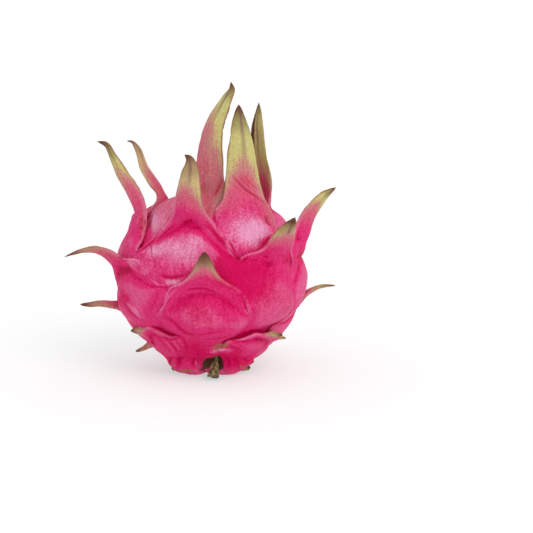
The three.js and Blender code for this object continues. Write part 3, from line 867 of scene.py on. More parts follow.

# %% [markdown]
# ## Creases
#
# Thick skin creases where it bends: a fine groove, often with a ridge beside it. The groove is
# painted crimson, as painted shade, and the ridge pale, as painted highlight.
# Sculpting each one by hand would be slow to repeat, so they are drawn. Think of an upright sheet
# of glass through the middle of the fruit: each line is a few points on it, sideways and up from
# the stem's end, and the line of sight carries it back onto one scale. The mesh is made finer
# along the lines first, so that they stay crisp.

# %% The lines
# For each scale: (depth, half-width, how dark, ridge, points from one end to the other), all in
# millimetres but for how dark. A ridge is so high, to the left of the line or right if negative.
# How dark is how much painted shade the groove gets, and a ridge also gets a painted highlight.
CREASES = {
    "front_high": [
        (0.35, 0.8, 0.8, 0, [(-16, 72.7), (-20.5, 69.8), (-24.5, 66.3), (-29, 63.3)]),
        (0.4, 1.5, 1, 0, [(-3.5, 72.7), (1.5, 68.8), (4.7, 65), (8, 61.7), (10.5, 59.3)]),
        (0.2, 0.6, 0.3, 0, [(-15.5, 67.8), (-11, 69.8), (-6, 70.3), (-1.5, 68.8)]),
        (0.2, 0.55, 0.25, 0.2, [(-28, 66.3), (-29.3, 62.2), (-29.3, 57.3), (-27.5, 52.2),
         (-25, 47.8)]),
        (0.4, 0.9, 1, 0, [(-25.2, 47.3), (-21, 45.5), (-16.5, 45.7), (-9.5, 48.3)]),
        (0.3, 0.6, 0.8, 0.2, [(-25.2, 68.5), (-29.2, 63.5), (-35.5, 58.8)]),
        (0.2, 0.5, 0.5, 0, [(-28.5, 56.5), (-26.5, 52.5), (-23.5, 49.5)]),
    ],
    "front_middle": [
        (0.4, 0.6, 1, 0, [(-13, 38.7), (-10, 39.6), (-6.5, 39.9), (-3, 39.8), (0.5, 38.7),
         (4, 36.2)]),
        (0.15, 0.45, 0.4, 0, [(-10.5, 41.3), (-6.5, 41.8), (-3, 41.8), (0.5, 40.8)]),
        (0.2, 1.2, 0.5, 0, [(-17.5, 32.8), (-13.5, 34.9), (-7, 36.6), (0.5, 36.6), (5.5, 34.9),
         (9, 31.8)]),
        (0.3, 0.6, 0.6, 0, [(6, 37.7), (9.2, 33.3), (11.8, 29.8), (13, 25.8)]),
        (0.15, 0.7, 0.35, 0, [(1.5, 34.3), (6, 31.2), (10, 26.2)]),
        (0.2, 0.6, 0.2, -0.2, [(-16, 38.7), (-20, 34.8), (-22.7, 30.2), (-23.2, 25.3)]),
        (0.5, 1, 0.8, 0, [(-25.5, 26.2), (-21.8, 25.3), (-18.2, 23.1), (-14.7, 19.5), (-11, 17.3),
         (-7, 16.9), (-3, 17.3)]),
        (0.25, 0.45, 0.7, 0, [(-8.5, 16.5), (-3, 17.1), (2.3, 18.1), (8.5, 18.7)]),
        (0.25, 0.45, 0.6, 0, [(-6.5, 14.8), (0, 14.5), (6, 15.5), (11, 16.8)]),
        (0.2, 0.6, 0.9, 0, [(-12, 12.8), (-6, 11.2), (0.5, 10.8)]),
        (0.2, 0.4, 0.4, 0, [(-11.5, 15.2), (-6, 13.5), (1, 13.2)]),
    ],
    "crown_right": [
        (0.2, 0.7, 1, 0, [(26, 60.8), (28.3, 64), (30.5, 67)]),
        (0.2, 0.6, 1, 0, [(9.5, 63.8), (11.3, 60.5), (13, 57.8)]),
        (0.5, 0.7, 1, 0.3, [(10, 97.3), (14.3, 93), (17.5, 90), (21, 87.5), (24.5, 85),
         (28.5, 81.8)]),
        (0.25, 0.5, 0.8, 0, [(13, 97.3), (18, 92.2), (23.5, 87.3)]),
        (0.25, 0.5, 0.7, 0, [(16.5, 96.8), (20.5, 92.5), (23.5, 89.5)]),
        (0.15, 0.5, 0.4, 0, [(9, 93.2), (13, 90.7), (16.5, 87.3)]),
        (0.3, 0.6, 0.9, 0, [(2.7, 79.8), (1.9, 77.3), (2.2, 74.8), (3.7, 71.8)]),
    ],
    "right_front": [
        (0.3, 0.6, 0.6, 0.3, [(14.5, 38.3), (16.5, 34.3), (18, 30.3), (19, 26.3)]),
    ],
    "front_low_left": [
        (0.1, 1.1, 0.9, 0, [(-30.5, 21.3), (-26, 19.8), (-21, 17.3), (-16.5, 14.8)]),
        (0.25, 0.6, 0.7, 0, [(-22.5, 14.8), (-19, 11.8), (-16, 8.3), (-14.5, 4.5)]),
        (0.2, 0.5, 0.5, 0, [(-26.5, 15.5), (-23.5, 12.5), (-21, 9.5)]),
        (0.2, 0.5, 0.3, 0.15, [(-31, 19.2), (-25, 15.2), (-21, 10.8), (-18.5, 6.3)]),
        (0.2, 0.5, 0.3, 0.15, [(-27, 19.8), (-22, 15.8), (-17.5, 10.8), (-15.5, 6.3)]),
        (0.2, 0.5, 0.3, 0.15, [(-22.5, 18.7), (-18, 15.2), (-14, 10.3)]),
        (0.45, 0.9, 0.8, 0, [(-16, 16.8), (-13, 13.8), (-11.8, 9.2), (-13, 4.3)]),
        (0.4, 0.8, 0.7, 0, [(-8.5, 13.2), (-6.5, 9.2), (-5.5, 5.3)]),
    ],
    "lobe_left": [
        (0.3, 0.8, 0.8, 0, [(-18.5, 6.8), (-15.5, 3.8), (-14.5, 0.8)]),
        (0.3, 0.8, 0.8, 0, [(-7.5, 7.8), (-6, 3.8), (-6.5, 0.8)]),
        (0.9, 1, 0.9, 0, [(-18.5, 9.5), (-19.5, 5.5), (-21.5, 1.8)]),
        (1, 1.2, 1, 0, [(-13, 11.2), (-13.5, 7.5), (-15.5, 3.5), (-16.5, -0.3)]),
        (1, 1, 1, 0.3, [(-9, 10.8), (-7.5, 7.2), (-8.5, 3.3), (-7.8, -0.3)]),
        (0.6, 0.8, 0.8, 0, [(-4.5, 9.8), (-5.5, 6.2), (-5, 2)]),
    ],
    "crown_left": [
        (0.3, 0.6, 0.8, 0, [(-28.5, 78.3), (-30, 73.2), (-31.3, 68.3), (-34, 63.3)]),
        (0.7, 0.9, 1, 0, [(6.2, 95.3), (5, 91.8), (3.2, 88.3), (1.5, 85.5)]),
    ],
    "left_middle": [
        (0.3, 0.7, 0.6, 0.25, [(-45.5, 36.2), (-42, 31.5), (-37.5, 26.2), (-34, 23.8)]),
        (0.25, 0.7, 0.45, 0, [(-25.5, 39.3), (-27.8, 33.1), (-30.5, 28.3)]),
    ],
    "side_low_left": [
        (0.5, 1.2, 0.9, 0, [(-30.2, 14.8), (-26, 13), (-22.5, 9.7), (-19.5, 5.7)]),
    ],
    "lobe_right": [
        (0.8, 0.9, 1, 0, [(5.5, 9.3), (8.8, 4.8), (9.2, -0.3)]),
        (0.9, 1, 1, 0.3, [(6, 9.7), (11.5, 5.8), (14.5, 0.8)]),
        (0.7, 0.9, 0.9, 0, [(9, 9.2), (15.5, 6.3), (19.5, 2.7)]),
    ],
    "front_low_right": [
        (0.35, 0.7, 0.8, 0, [(4.5, 12.3), (9, 11.5), (13.5, 9.7), (18, 7.7)]),
    ],
}
print(sum(len(rows) for rows in CREASES.values()), "creases drawn")

# %% From the glass to the skin
GLASS_AHEAD = np.array(-CAMERA_BACK)
GLASS_UP = np.array((0, math.sin(CAMERA_LIFT), math.cos(CAMERA_LIFT)))
FACING = (0.05, 0.3)        # how far the skin faces the glass when a line starts, and is full
STEPS_A_POINT = 8


def read(mesh, name, kind, width=1, layer="vertices"):
    """A numpy table of one value of all vertices, edges, loops or polygons."""
    values = np.empty(len(getattr(mesh, layer)) * width, dtype=kind)
    getattr(mesh, layer).foreach_get(name, values)
    return values.reshape(-1, width) if width > 1 else values


def places_and_normals(mesh):
    return read(mesh, "co", np.float64, 3), read(mesh, "normal", np.float64, 3)


def on_glass(mesh):
    """For each point: sideways and up on the glass, and 0 to 1, how far it faces the glass."""
    places, normals = places_and_normals(mesh)
    off = places - np.array(camera.location)
    grow = CAMERA_DISTANCE / (off @ GLASS_AHEAD)
    aim = np.array(CAMERA_AIM)
    spots = np.stack([aim[0] + grow * off[:, 0], aim @ GLASS_UP + grow * (off @ GLASS_UP)], axis=1)
    start, full = FACING
    return spots, np.clip((normals @ -GLASS_AHEAD - start) / (full - start), 0, 1)


def from_line(spots, points):
    """How far each spot is from a smooth line, above 0 on its left, and its place along it."""
    line = smooth_line([Vector((x, up, 0)) for x, up in points], STEPS_A_POINT * (len(points) - 1))
    best, along = np.full(len(spots), np.inf), np.zeros(len(spots))
    for step, (start, end) in enumerate(zip(line, line[1:])):
        start, run = np.array(start[:2]), np.array((end - start)[:2])
        share = np.clip((spots - start) @ run / (run @ run), 0, 1)
        off = spots - start - share[:, None] * run
        side = np.where(run[0] * off[:, 1] < run[1] * off[:, 0], -1, 1)
        far = np.hypot(off[:, 0], off[:, 1]) * side
        near = np.abs(far) < np.abs(best)
        best[near] = far[near]
        along[near] = (step + share[near]) / (len(line) - 1)
    return best, along


def belongs(mesh, name):
    """Which points are on one scale."""
    piece = 1 + [scale["name"] for scale in scales].index(name)
    pieces = np.repeat(read(mesh.attributes["piece"], "value", np.int32, layer="data"),
                       read(mesh, "loop_total", np.int32, layer="polygons"))
    mask = np.zeros(len(mesh.vertices), dtype=bool)
    mask[read(mesh, "vertex_index", np.int32, layer="loops")[pieces == piece]] = True
    return mask


print("the glass leans back by", round(math.degrees(CAMERA_LIFT)), "degrees")

# %% Finer along the lines
CREASE_REACH = 0.004        # metres beyond a line's points within which it is looked for
FINE_BAND = 3.2             # half-widths of a crease on each side of it
FINE_EDGE = 0.00062


def creases_on(mesh):
    """Yields (point numbers, distances, places along, how far they face the glass, the row)."""
    spots, facing = on_glass(mesh)
    for name, rows in CREASES.items():
        seen = belongs(mesh, name) & (facing > 0)
        for depth, width, shade, ridge, points in rows:
            points = metres(points)
            low, high = np.min(points, axis=0) - CREASE_REACH, np.max(points, axis=0) + CREASE_REACH
            numbers = np.flatnonzero(seen & ((spots > low) & (spots < high)).all(axis=1))
            row = (metres(depth), metres(width), shade, metres(ridge))
            yield numbers, *from_line(spots[numbers], points), facing[numbers], row


def refine(rind):
    """Splits the long edges near the creases."""
    near = np.zeros(len(rind.data.vertices), dtype=bool)
    for numbers, far, _, _, (_, width, _, _) in creases_on(rind.data):
        near[numbers[np.abs(far) < FINE_BAND * width]] = True
    bm = bmesh.new()
    bm.from_mesh(rind.data)
    bm.verts.ensure_lookup_table()
    edges = [edge for edge in bm.edges if edge.calc_length() > FINE_EDGE
             and (near[edge.verts[0].index] or near[edge.verts[1].index])]
    bmesh.ops.subdivide_edges(bm, edges=edges, cuts=1, use_grid_fill=True)
    small_faces(bm)
    give_back(bm, rind)
    return len(edges)


print("edges split:", refine(rind), "then", refine(rind))

# %% Press them in
# The pale paint on a ridge is painted highlight.
FULL_RIDGE = 0.0007         # a ridge this high would be as pale as bloom
BANK_AT, BANK_WIDE = 2, 1.2     # half-widths from the groove to its ridge, and of the ridge
TAPER = 0.6                 # how bluntly a crease ends


def press(rind):
    """Moves the skin, and returns the painted shade that the creases lay on each point, in crimson,
    and the painted highlight on their ridges.
    """
    mesh = rind.data
    places, normals = places_and_normals(mesh)
    move, dark, pale = (np.zeros(len(places)) for _ in range(3))
    for numbers, far, along, facing, (depth, width, shade, ridge) in creases_on(mesh):
        taper = facing * np.sin(np.pi * along) ** TAPER
        groove = taper * np.exp(-(far / width) ** 2)
        aside = far - BANK_AT * width * np.sign(ridge)
        bank = taper * np.exp(-(aside / (BANK_WIDE * width)) ** 2)
        move[numbers] += abs(ridge) * bank - depth * groove
        dark[numbers] = np.maximum(dark[numbers], shade * groove)
        pale[numbers] = np.maximum(pale[numbers], abs(ridge) * bank / FULL_RIDGE)
    places += normals * move[:, None]
    mesh.vertices.foreach_set("co", places.ravel())
    mesh.update()
    return dark, pale


dark, pale = press(rind)
print("creases darken", int((dark > 0.1).sum()), "points")

# %% [markdown]
# ## Flushes of colour, painted light and dry skin
#
# Soft patches lie over the fruit: whitish bloom where the pillows stand out, and crimson where they
# were covered. They are partly the skin's own flush and partly painted light: some bloom patches
# are painted highlight, or lighten gaps that lie in shade, and some crimson is painted shade. Skin
# that was rubbed or torn dries brown, and it stands up in small shreds. These could be painted by
# brush, but on the sheet of glass each takes only a few numbers. The rows of the scales give the
# rest.

# %% Where the flushes and the dry skin are
# (sideways, up, half-width, half-height, amount), in millimetres but for the amount: bloom above
# 0 and crimson below it. The bloom is partly painted highlight and the crimson partly painted
# shade.
FLUSH_AND_LIGHT_PATCHES = [
    (11, 48.3, 10, 8, -1), (21, 41.3, 10, 9, -0.6), (8, 53.2, 6, 5, -0.7),
    (-3.5, 32.5, 15, 8, -0.3), (-5, 25.3, 15, 7, -0.25), (-10, 7.7, 15, 7, -0.8),
    (12, 4.3, 10, 6, -1), (6, 82.8, 6, 5, -0.3), (20, 93.2, 7, 4.5, -0.5),
    (-44, 49.3, 2.5, 5, -0.6), (-43, 34.8, 4.5, 4.5, -0.8), (28, 62.8, 3, 3, -0.9),
    (-32, 66.3, 3, 7, -0.6), (-36, 47, 7, 9, 0.25), (30, 81, 7, 8, -0.35), (-2, 98.3, 4, 4.5, -0.5),
    (0, 24, 11, 6, -0.1), (27, 53.5, 6, 6, -0.5), (-30, 59.3, 5, 3, 0.6), (-28.5, 74.3, 2, 9, 0.5),
    (-37, 76.3, 4.5, 8, 0.4), (-26.5, 89.3, 3, 3, -0.7), (4.5, 83.5, 2.2, 6, 0.5),
    (23.5, 68.3, 8, 7, 1), (15, 73.2, 11, 10, 0.35), (-15, 59.8, 12.5, 6.5, 0.55),
    (-4, 65.5, 9, 5, 0.4), (-25.5, 73.7, 4.5, 6, 0.5), (-39.5, 53.2, 4, 3, 0.35),
    (-18.5, 43.3, 4, 2, 0.9), (10.5, 59.3, 3, 3.5, 0.6), (-37.5, 31.2, 4, 5.5, 0.3),
    (5.8, 9.4, 3, 1.3, 1.4), (2, 8.6, 1.8, 0.8, 1.2), (9.8, 9.2, 1.8, 1, 0.8),
    (29, 92.5, 2.2, 6, -1.2), (-38.5, 73, 4, 8, -0.25), (-25.5, 88.8, 3, 3.5, -0.6),
]
SCARS = [       # dry, brownish skin, in the same way
    (6.2, 11.8, 3.8, 1, 1.1), (3.2, 10.2, 2.2, 0.8, 0.9), (-24.5, 0.8, 4, 1.6, 0.8),
    (-12, -1, 5, 1, 0.7), (16.5, 0.5, 4, 1.2, 0.6),
]
print(len(FLUSH_AND_LIGHT_PATCHES), "flushes and", len(SCARS), "scars")

# %% Place them on the skin
NAVEL_RIM = (0.0022, 0.003)     # how far the dry rim round the navel spreads, out and up
NAVEL_BAND = 0.006              # and how far below the rim it is looked for
FRAY, FRAY_EVEN = 0.0009, 0.4   # the height of a shred, and how much of it is even
SHREDS = (900, 900, 350)        # shreds in a metre: they are longer upwards


def flushes(mesh, patches):
    """The sum of the patches at each point."""
    spots, facing = on_glass(mesh)
    total = np.zeros(len(spots))
    for row in patches:
        middle, size, amount = metres(row[:2]), metres(row[2:4]), row[4]
        total += amount * np.exp(-(((spots - middle) / size) ** 2).sum(axis=1))
    return total * facing


def navel_rim(mesh):
    """1 on the dry rim round the dish at the top, and 0 away from it."""
    spots = read(mesh, "co", np.float64, 3) - np.array(GLOBE_CENTRE)
    way = np.array(NAVEL_WAY)
    up = spots @ way
    out = np.linalg.norm(spots - up[:, None] * way, axis=1)
    outwards, upwards = (out - NAVEL_RADIUS) / NAVEL_RIM[0], (up - NAVEL_UP) / NAVEL_RIM[1]
    near = np.exp(-(outwards ** 2 + upwards ** 2))
    return np.where(up > NAVEL_UP - NAVEL_BAND, near, 0)


def fray(mesh, scar):
    """Raises dry skin into small ragged shreds, but not where the fruit rests."""
    places, normals = places_and_normals(mesh)
    for i in np.flatnonzero((scar > 0.1) & (places[:, 2] > 2 * FLAT)):
        shred = FRAY_EVEN + noise.noise(Vector(places[i] * SHREDS))
        places[i] += normals[i] * FRAY * min(1, scar[i]) * shred
    mesh.vertices.foreach_set("co", places.ravel())
    mesh.update()


flush = flushes(rind.data, FLUSH_AND_LIGHT_PATCHES)
scar = np.maximum(flushes(rind.data, SCARS), navel_rim(rind.data))
fray(rind.data, scar)
# One colour attribute: red is the painted shade in the creases, green the painted highlight on
# their ridges, blue the flush, alpha scars.
marks = rind.data.attributes.new("marks", "FLOAT_COLOR", "POINT")
marks.data.foreach_set("color", np.stack([dark, pale, flush, scar], axis=1).ravel())
print("flush from", round(flush.min(), 2), "to", round(flush.max(), 2))

# %% [markdown]
# ## Where the skin is hollow
#
# The deepest colour of a dragon fruit gathers in its folds, and a pale bloom lies on what stands
# proud. The paint follows that: crimson in the hollows, partly the skin's own colour and partly
# painted shade, and paler paint on what stands proud, partly bloom and partly painted highlight. To
# paint that, each point needs to know whether it lies in a hollow or on a crest. The Pointiness of
# a Geometry node tells it, but only at the width of one face. So a copy of the mesh is smoothed:
# points in a hollow move out, and points on a crest move in. That move, along the normal, is stored
# as an attribute, once over wide forms and once over lines.

# %% Measure the hollows
HOLLOWS = (("hollow", 40, 0.0006), ("line", 6, 0.00014))    # (attribute, passes, full depth)
PASSES_A_BLUR = 12          # the depths are blurred once for so many passes


def measure_hollows(mesh, name, passes, full):
    """Stores -1 on crests to 1 in hollows. full is the move, in metres, that counts as 1."""
    count = len(mesh.vertices)
    places, normals = places_and_normals(mesh)
    ends = read(mesh, "vertices", np.int32, 2, "edges")
    a, b = np.concatenate([ends, ends[:, ::-1]]).T
    links = np.bincount(a, minlength=count)[:, None]

    def smoothed(values):
        total = np.stack([np.bincount(a, column[b], count) for column in values.T], axis=1)
        return 0.5 * values + 0.5 * total / links

    moved = places
    for _ in range(passes):
        moved = smoothed(moved)
    depth = ((moved - places) * normals).sum(axis=1)[:, None]
    for _ in range(passes // PASSES_A_BLUR):
        depth = smoothed(depth)
    layer = mesh.attributes.new(name, "FLOAT", "POINT")
    layer.data.foreach_set("value", np.clip(depth[:, 0] / full, -1, 1))
    return depth


for name, passes, full in HOLLOWS:
    depth = 1000 * measure_hollows(rind.data, name, passes, full)
    print(name, "up to", round(depth.max(), 2), "mm, crests to", round(-depth.min(), 2), "mm")

# %% [markdown]
# ## Node helpers
#
# The nodes could be placed by hand, but code is easier to read and to change. A few words each
# stand for a node with its values, a mix of two colours by a mask, and a soft step that turns
# any number into a mask. Wherever a mask is wanted, (value, start, end) is such a soft step.

# %% Nodes and sums
def put(tree, value, socket):
    """Links an output to a socket, or sets the socket's value."""
    if isinstance(value, bpy.types.NodeSocket):
        tree.links.new(value, socket)
    else:
        socket.default_value = value


def add(tree, kind, **values):
    """A node, with its properties and its sockets set by name."""
    made = tree.nodes.new("ShaderNode" + kind)
    for name, value in values.items():
        if hasattr(made, name):
            setattr(made, name, value)
        else:
            put(tree, value, made.inputs[name.replace("_", " ")])
    return made


def maths(tree, how, *values):
    made = add(tree, "Math", operation=how)
    for socket, value in zip(made.inputs, values):
        put(tree, value, socket)
    return made.outputs[0]


def times(tree, value, by, plus):
    return maths(tree, "MULTIPLY_ADD", value, by, plus)


print("nodes can be added")

# %% Masks, layers and patterns
def soft_step(tree, value, start, end):
    """0 before start and 1 after end, smoothly. With start after end it falls instead."""
    low, high, out = (start, end, (0, 1)) if start < end else (end, start, (1, 0))
    return add(tree, "MapRange", interpolation_type="SMOOTHSTEP", Value=value, From_Min=low,
               From_Max=high, To_Min=out[0], To_Max=out[1]).outputs["Result"]


def combined(tree, how, masks):
    """Masks taken together."""
    masks = [soft_step(tree, *mask) if isinstance(mask, tuple) else mask for mask in masks]
    result = masks[0]
    for mask in masks[1:]:
        result = maths(tree, how, result, mask)
    return result


def both(tree, *masks):
    return combined(tree, "MULTIPLY", masks)


def either(tree, *masks):
    return combined(tree, "MAXIMUM", masks)


def blend(tree, mask, under, over, how="MIX"):
    made = add(tree, "Mix", data_type="RGBA", blend_type=how)
    for socket, value in zip((made.inputs["Factor"], *made.inputs[6:8]),
                             (either(tree, mask), under, over)):
        put(tree, value, socket)
    return made.outputs[2]


def layered(tree, colour, *layers):
    """A colour under layers of (mask, colour)."""
    for mask, over in layers:
        colour = blend(tree, mask, colour, over)
    return colour


def speckle(tree, where, often, detail, rough=0.5):
    """Noise from 0 to 1, with so many bumps in a metre."""
    return add(tree, "TexNoise", Vector=where, Scale=often, Detail=detail,
               Roughness=rough).outputs["Fac"]


def bump(tree, strength, distance, height):
    return add(tree, "Bump", Strength=strength, Distance=distance, Height=height).outputs["Normal"]


print("and mixed by masks")

# %% [markdown]
# ## The mottling group
#
# Both the rind and the stem are mottled: large soft clouds with fine grain over them. It is one
# node group with named sockets, so that each material can use it with its own sizes.

# %% Mottling
def mottling_group():
    """Clouds and Grain, each from 0 to 1, and a Relief for bumps."""
    group = bpy.data.node_groups.new("mottling", "ShaderNodeTree")
    for name, often in (("Cloud Scale", 120.0), ("Grain Scale", 1500.0)):
        socket = group.interface.new_socket(name, in_out="INPUT", socket_type="NodeSocketFloat")
        socket.default_value = often
    for name in ("Clouds", "Grain", "Relief"):
        group.interface.new_socket(name, in_out="OUTPUT", socket_type="NodeSocketFloat")
    given, made = group.nodes.new("NodeGroupInput").outputs, group.nodes.new("NodeGroupOutput")
    where = add(group, "TexCoord").outputs["Object"]
    clouds = speckle(group, where, given["Cloud Scale"], detail=3)
    grain = speckle(group, where, given["Grain Scale"], detail=2, rough=0.6)
    put(group, clouds, made.inputs["Clouds"])
    put(group, grain, made.inputs["Grain"])
    put(group, times(group, clouds, 0.5, grain), made.inputs["Relief"])
    return group


def mottled(tree, cloud_scale, grain_scale):
    """The outputs of the mottling group, with its scales in bumps in a metre."""
    made = tree.nodes.new("ShaderNodeGroup")
    made.node_tree = mottling
    set_sockets(made, Cloud_Scale=cloud_scale, Grain_Scale=grain_scale)
    return made.outputs


mottling = mottling_group()
print(mottling.name, [item.name for item in mottling.interface.items_tree])

# %% [markdown]
# ## Painting the rind
#
# A dragon fruit's skin is rose to hot pink, deepest in the folds, with a whitish bloom on the
# pillows. The deep crimson in the folds and creases is partly painted shade, and the bloom on the
# domes, crests, margins and ridges is partly painted highlight. Up a blade it dulls to mauve, then
# turns yellow-green, and ends in a dry brown tip. The margins ripen first, so the green runs down
# them, and a purplish vein runs up the middle. It could be one image, but colours laid over each
# other by masks stay sharp at any distance and each can be changed by itself.

# %% The rind's colours, and what they follow
# The crimson is the skin's own deep colour, and also painted shade in the folds, creases and under
# the brows. The bloom is the skin's whitish bloom, and also painted highlight on the domes, crests,
# margins and ridges. The maroon is painted shadow in the deepest gaps.
CRIMSON_AND_SHADE = (0.58, 0.001, 0.082, 1)
ROSE = (0.66, 0.028, 0.160, 1)
BLOOM_AND_HIGHLIGHT = (0.74, 0.300, 0.480, 1)
MAUVE = (0.50, 0.240, 0.205, 1)
LEAF = (0.55, 0.500, 0.190, 1)
OLIVE = (0.30, 0.260, 0.095, 1)
VEIN = (0.20, 0.100, 0.100, 1)
TAN = (0.33, 0.140, 0.075, 1)
BROWN = (0.13, 0.050, 0.030, 1)
MAROON_GAP_SHADOW = (0.26, 0.000, 0.030, 1)
FIBRES = (16, 3, 0.2)           # fibres over a scale's half-width, its places and its inset


def skin_sockets(tree):
    """What is stored on the skin, and its mottling, as sockets with names."""
    chart, marks, paint, hollow, line = (
        add(tree, "Attribute", attribute_name=name).outputs
        for name in ("chart", "marks", "paint", "hollow", "line"))
    across, along, inset = add(tree, "SeparateXYZ", Vector=chart["Vector"]).outputs
    dark, pale, patch = add(tree, "SeparateColor", Color=marks["Color"]).outputs
    flush, ripe, dry = add(tree, "SeparateColor", Color=paint["Color"]).outputs
    mottle = mottled(tree, 110, 1100)
    stretched = add(tree, "VectorMath", operation="MULTIPLY")
    put(tree, chart["Vector"], stretched.inputs[0])
    put(tree, FIBRES, stretched.inputs[1])
    uneven, stipple, fibres = (
        maths(tree, "SUBTRACT", pattern, 0.5) for pattern in
        (mottle["Clouds"], mottle["Grain"], speckle(tree, stretched.outputs[0], 1, detail=3)))
    return SimpleNamespace(
        along=along, inset=inset, outer=maths(tree, "GREATER_THAN", inset, -0.5),
        margin=maths(tree, "ABSOLUTE", across), dark=dark, pale=pale, patch=patch,
        scar=marks["Alpha"], flush=flush, ripe=ripe, dry=dry, green=paint["Alpha"],
        hollow=hollow["Fac"], line=line["Fac"], uneven=uneven, stipple=stipple, fibres=fibres,
        grain=mottle["Grain"], relief=mottle["Relief"])


def stirred(tree, value, *parts):
    """A value with shares of some patterns added, so that its edges aren't even."""
    for pattern, share in parts:
        value = times(tree, pattern, share, value)
    return value


print("ten colours, from", CRIMSON_AND_SHADE[:3], "to", BROWN[:3])

# %% Pillows: rose, with bloom and painted highlight on the domes, and crimson and painted shade in the folds
def pillow_colour(tree, skin):
    flush = maths(tree, "ADD", stirred(tree, skin.flush, (skin.uneven, 0.5)), skin.patch)
    flush = stirred(tree, flush, (skin.stipple, 0.9), (skin.fibres, 0.5))
    # Paler where the skin stands proud: painted highlight.
    crest = both(tree, (skin.hollow, -0.3, -1.0), 0.2)
    # A pale line along each margin: painted highlight.
    rim = both(tree, (skin.inset, 1.9, 0.9), (skin.along, 0.4, 0.7), skin.outer, 0.35)
    # Crimson in the hollows and under the brows: partly the skin's own colour, partly painted
    # shade.
    fold = both(tree, either(tree, (skin.hollow, 0.1, 0.9), (flush, -0.05, -0.8)), 0.95)
    # Maroon in the deepest creases and fine lines: painted shadow.
    gap_shadow = both(tree, either(tree, (skin.dark, 0.3, 1.0), (skin.line, 0.55, 1.1)), 0.6)
    # The pale ridges beside the creases are painted highlight, and the crimson in the creases and
    # fine lines painted shade.
    return layered(tree, ROSE, ((flush, 0.05, 1.1), BLOOM_AND_HIGHLIGHT),
                   (either(tree, crest, rim, skin.pale), BLOOM_AND_HIGHLIGHT),
                   (either(tree, fold, (skin.line, 0.2, 0.9), skin.dark), CRIMSON_AND_SHADE), (gap_shadow, MAROON_GAP_SHADOW))


print("pillows: two layers of bloom and two of crimson over rose")

# %% Blades: mauve, green, a vein up the middle, brown at the tip and along the margins
def blade_colour(tree, skin, colour):
    """Lays a blade's colours over the pillow's. Returns them, and how brown the skin is."""
    ripe = stirred(tree, skin.ripe, (skin.uneven, 0.5), (skin.fibres, 0.5), (skin.stipple, 0.3))
    dry = stirred(tree, skin.dry, (skin.uneven, 0.5))
    dull = times(tree, soft_step(tree, ripe, -1.0, -0.4), 0.35, both(tree, (ripe, -0.4, 0.0), 0.5))
    green = both(tree, (ripe, -0.15, 0.35), skin.green)
    vein = both(tree, (skin.margin, 0.27, 0.02), (ripe, -0.15, 0.6), 0.75)
    streak = both(tree, (skin.margin, 0.2, 0.06), (dry, -0.7, -0.1), (skin.green, 0.65, 0.75), 0.75)
    edge = both(tree, (skin.inset, 1.0, 0.2), (ripe, -0.4, 0.4), skin.outer, 0.9)
    brown = soft_step(tree, dry, 0.0, 0.9)
    scar = both(tree, (times(tree, skin.stipple, 1.5, skin.scar), 0.25, 0.7), 0.9)
    # The creases on a blade are darkened to crimson: painted shade.
    return layered(tree, colour, (dull, MAUVE), (green, blend(tree, (dry, -0.9, 0.1), LEAF, OLIVE)),
                   (either(tree, vein, streak), VEIN), (edge, TAN),
                   (both(tree, skin.dark, 0.7), CRIMSON_AND_SHADE), (brown, BROWN), (scar, TAN)), brown


print("blades: seven layers over the pillows' colours")

# %% The rind's material, with fine grain and fibres over all of it
def rind_material():
    material, tree, shader = new_material("dragon fruit rind")
    skin = skin_sockets(tree)
    colour, brown = blade_colour(tree, skin, pillow_colour(tree, skin))
    shade = times(tree, skin.grain, 0.7, times(tree, skin.fibres, 0.3, 0.65))
    grey = add(tree, "CombineColor", Red=shade, Green=shade, Blue=shade).outputs[0]
    height = times(tree, skin.fibres, 1.2, skin.relief)
    put(tree, blend(tree, 1.0, colour, grey, how="MULTIPLY"), shader.inputs["Base Color"])
    put(tree, times(tree, brown, 0.25, 0.5), shader.inputs["Roughness"])
    put(tree, bump(tree, 0.4, 0.0004, height), shader.inputs["Normal"])
    set_sockets(shader, Subsurface_Weight=0.1, Subsurface_Radius=(1.0, 0.25, 0.3),
                Subsurface_Scale=0.002, Specular_IOR_Level=0.04)
    return material


rind.data.materials.clear()
rind.data.materials.append(rind_material())
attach(rind, "root")
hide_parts("fruit")
print("rind painted with", len(rind.data.materials[0].node_tree.nodes), "nodes")

# %% [markdown]
# ## The cut end of the stem
#
# The stem sits in the hollow under the front of the fruit. It is woody and ribbed, narrow where
# it leaves the flesh and a little wider at the cut. It could be a swept profile, but the ribs
# twist and the wood is uneven. So it is a cylinder with many rings, whose points are pushed in
# and out by a few ribs.

# %% The stem
STEM_ROOT = Vector((0.0042, -0.0155, 0.017))
STEM_END = Vector((0.0026, -0.0252, 0.0022))
STEM_RADII = (0.0012, 0.0028)
STEM_WAIST = 0.35
STEM_AROUND, STEM_RINGS = 48, 28
CUT_FACE = dict(thickness=0.0007, depth=-0.0003)    # the dished face of the cut
RIBS = ((math.cos, 3, 0.12), (math.cos, 7, 0.07), (math.sin, 13, 0.04))  # (wave, how many, height)
RIB_TWIST = 1.3
KNOBS, KNOB = 400, 0.12                             # knobs in a metre, and their height


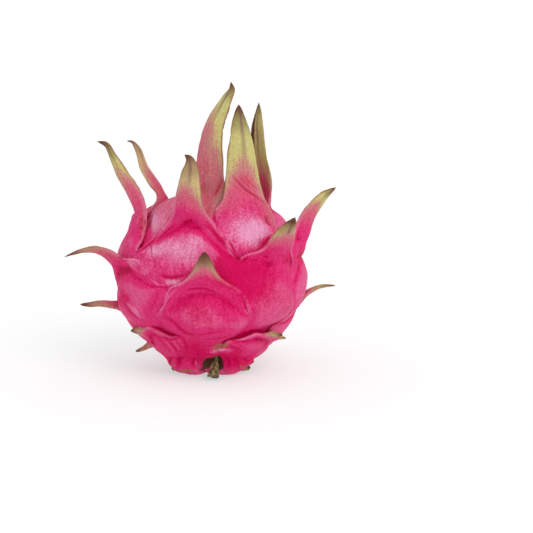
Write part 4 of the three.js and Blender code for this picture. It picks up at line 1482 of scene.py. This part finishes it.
def stem_bmesh():
    axis = STEM_END - STEM_ROOT
    bm = cone_bmesh(axis.length, STEM_RADII, STEM_AROUND)
    for ring in range(1, STEM_RINGS):
        bmesh.ops.bisect_plane(bm, geom=[*bm.verts, *bm.edges, *bm.faces], plane_no=UP,
                               plane_co=axis.length * ring / STEM_RINGS * UP)
    bmesh.ops.inset_region(bm, faces=[face for face in bm.faces if len(face.verts) > 4], **CUT_FACE)
    for vert in bm.verts:
        share = vert.co.z / axis.length
        turn = math.atan2(vert.co.y, vert.co.x) + RIB_TWIST * share
        ribs = sum(high * wave(often * turn) for wave, often, high in RIBS)
        waist = 1 - STEM_WAIST * math.sin(math.pi * share) ** 2
        vert.co.xy *= (1 + ribs + KNOB * noise.noise(vert.co * KNOBS)) * waist
    stand(bm, axis.normalized(), STEM_ROOT)
    bmesh.ops.recalc_face_normals(bm, faces=bm.faces)
    for face in bm.faces:
        face.smooth = len(face.verts) <= 4
    return bm


stem = as_object(stem_bmesh(), "stem_end")
stub_low, stub_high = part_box("stem_stub")
print("stem of", len(stem.data.polygons), "faces,", round(1000 * stem.dimensions.z, 1),
      "mm high, and the packed stub is", round(1000 * (stub_high[2] - stub_low[2]), 1))

# %% Bark
BARK = (0.3, 0.24, 0.09, 1)
BARK_DARK = (0.07, 0.045, 0.02, 1)


def bark_material():
    material, tree, shader = new_material("dry stem")
    mottle = mottled(tree, 500, 2600)
    colour = blend(tree, (mottle["Clouds"], 0.4, 0.6), BARK_DARK, BARK)
    put(tree, colour, shader.inputs["Base Color"])
    put(tree, times(tree, mottle["Grain"], 0.2, 0.7), shader.inputs["Roughness"])
    put(tree, bump(tree, 0.5, 0.0003, mottle["Relief"]), shader.inputs["Normal"])
    return material


stem.data.materials.append(bark_material())
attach(stem, "root")
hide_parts("stem_stub")
print("stem painted with", len(stem.data.materials[0].node_tree.nodes), "nodes")

# %% [markdown]
# ## Triangle counts
#
# The triangles of the finished rind and stem are counted.

# %% Count the triangles
for made in (rind, stem):
    made.data.calc_loop_triangles()
    print(made.name, len(made.data.loop_triangles), "triangles")
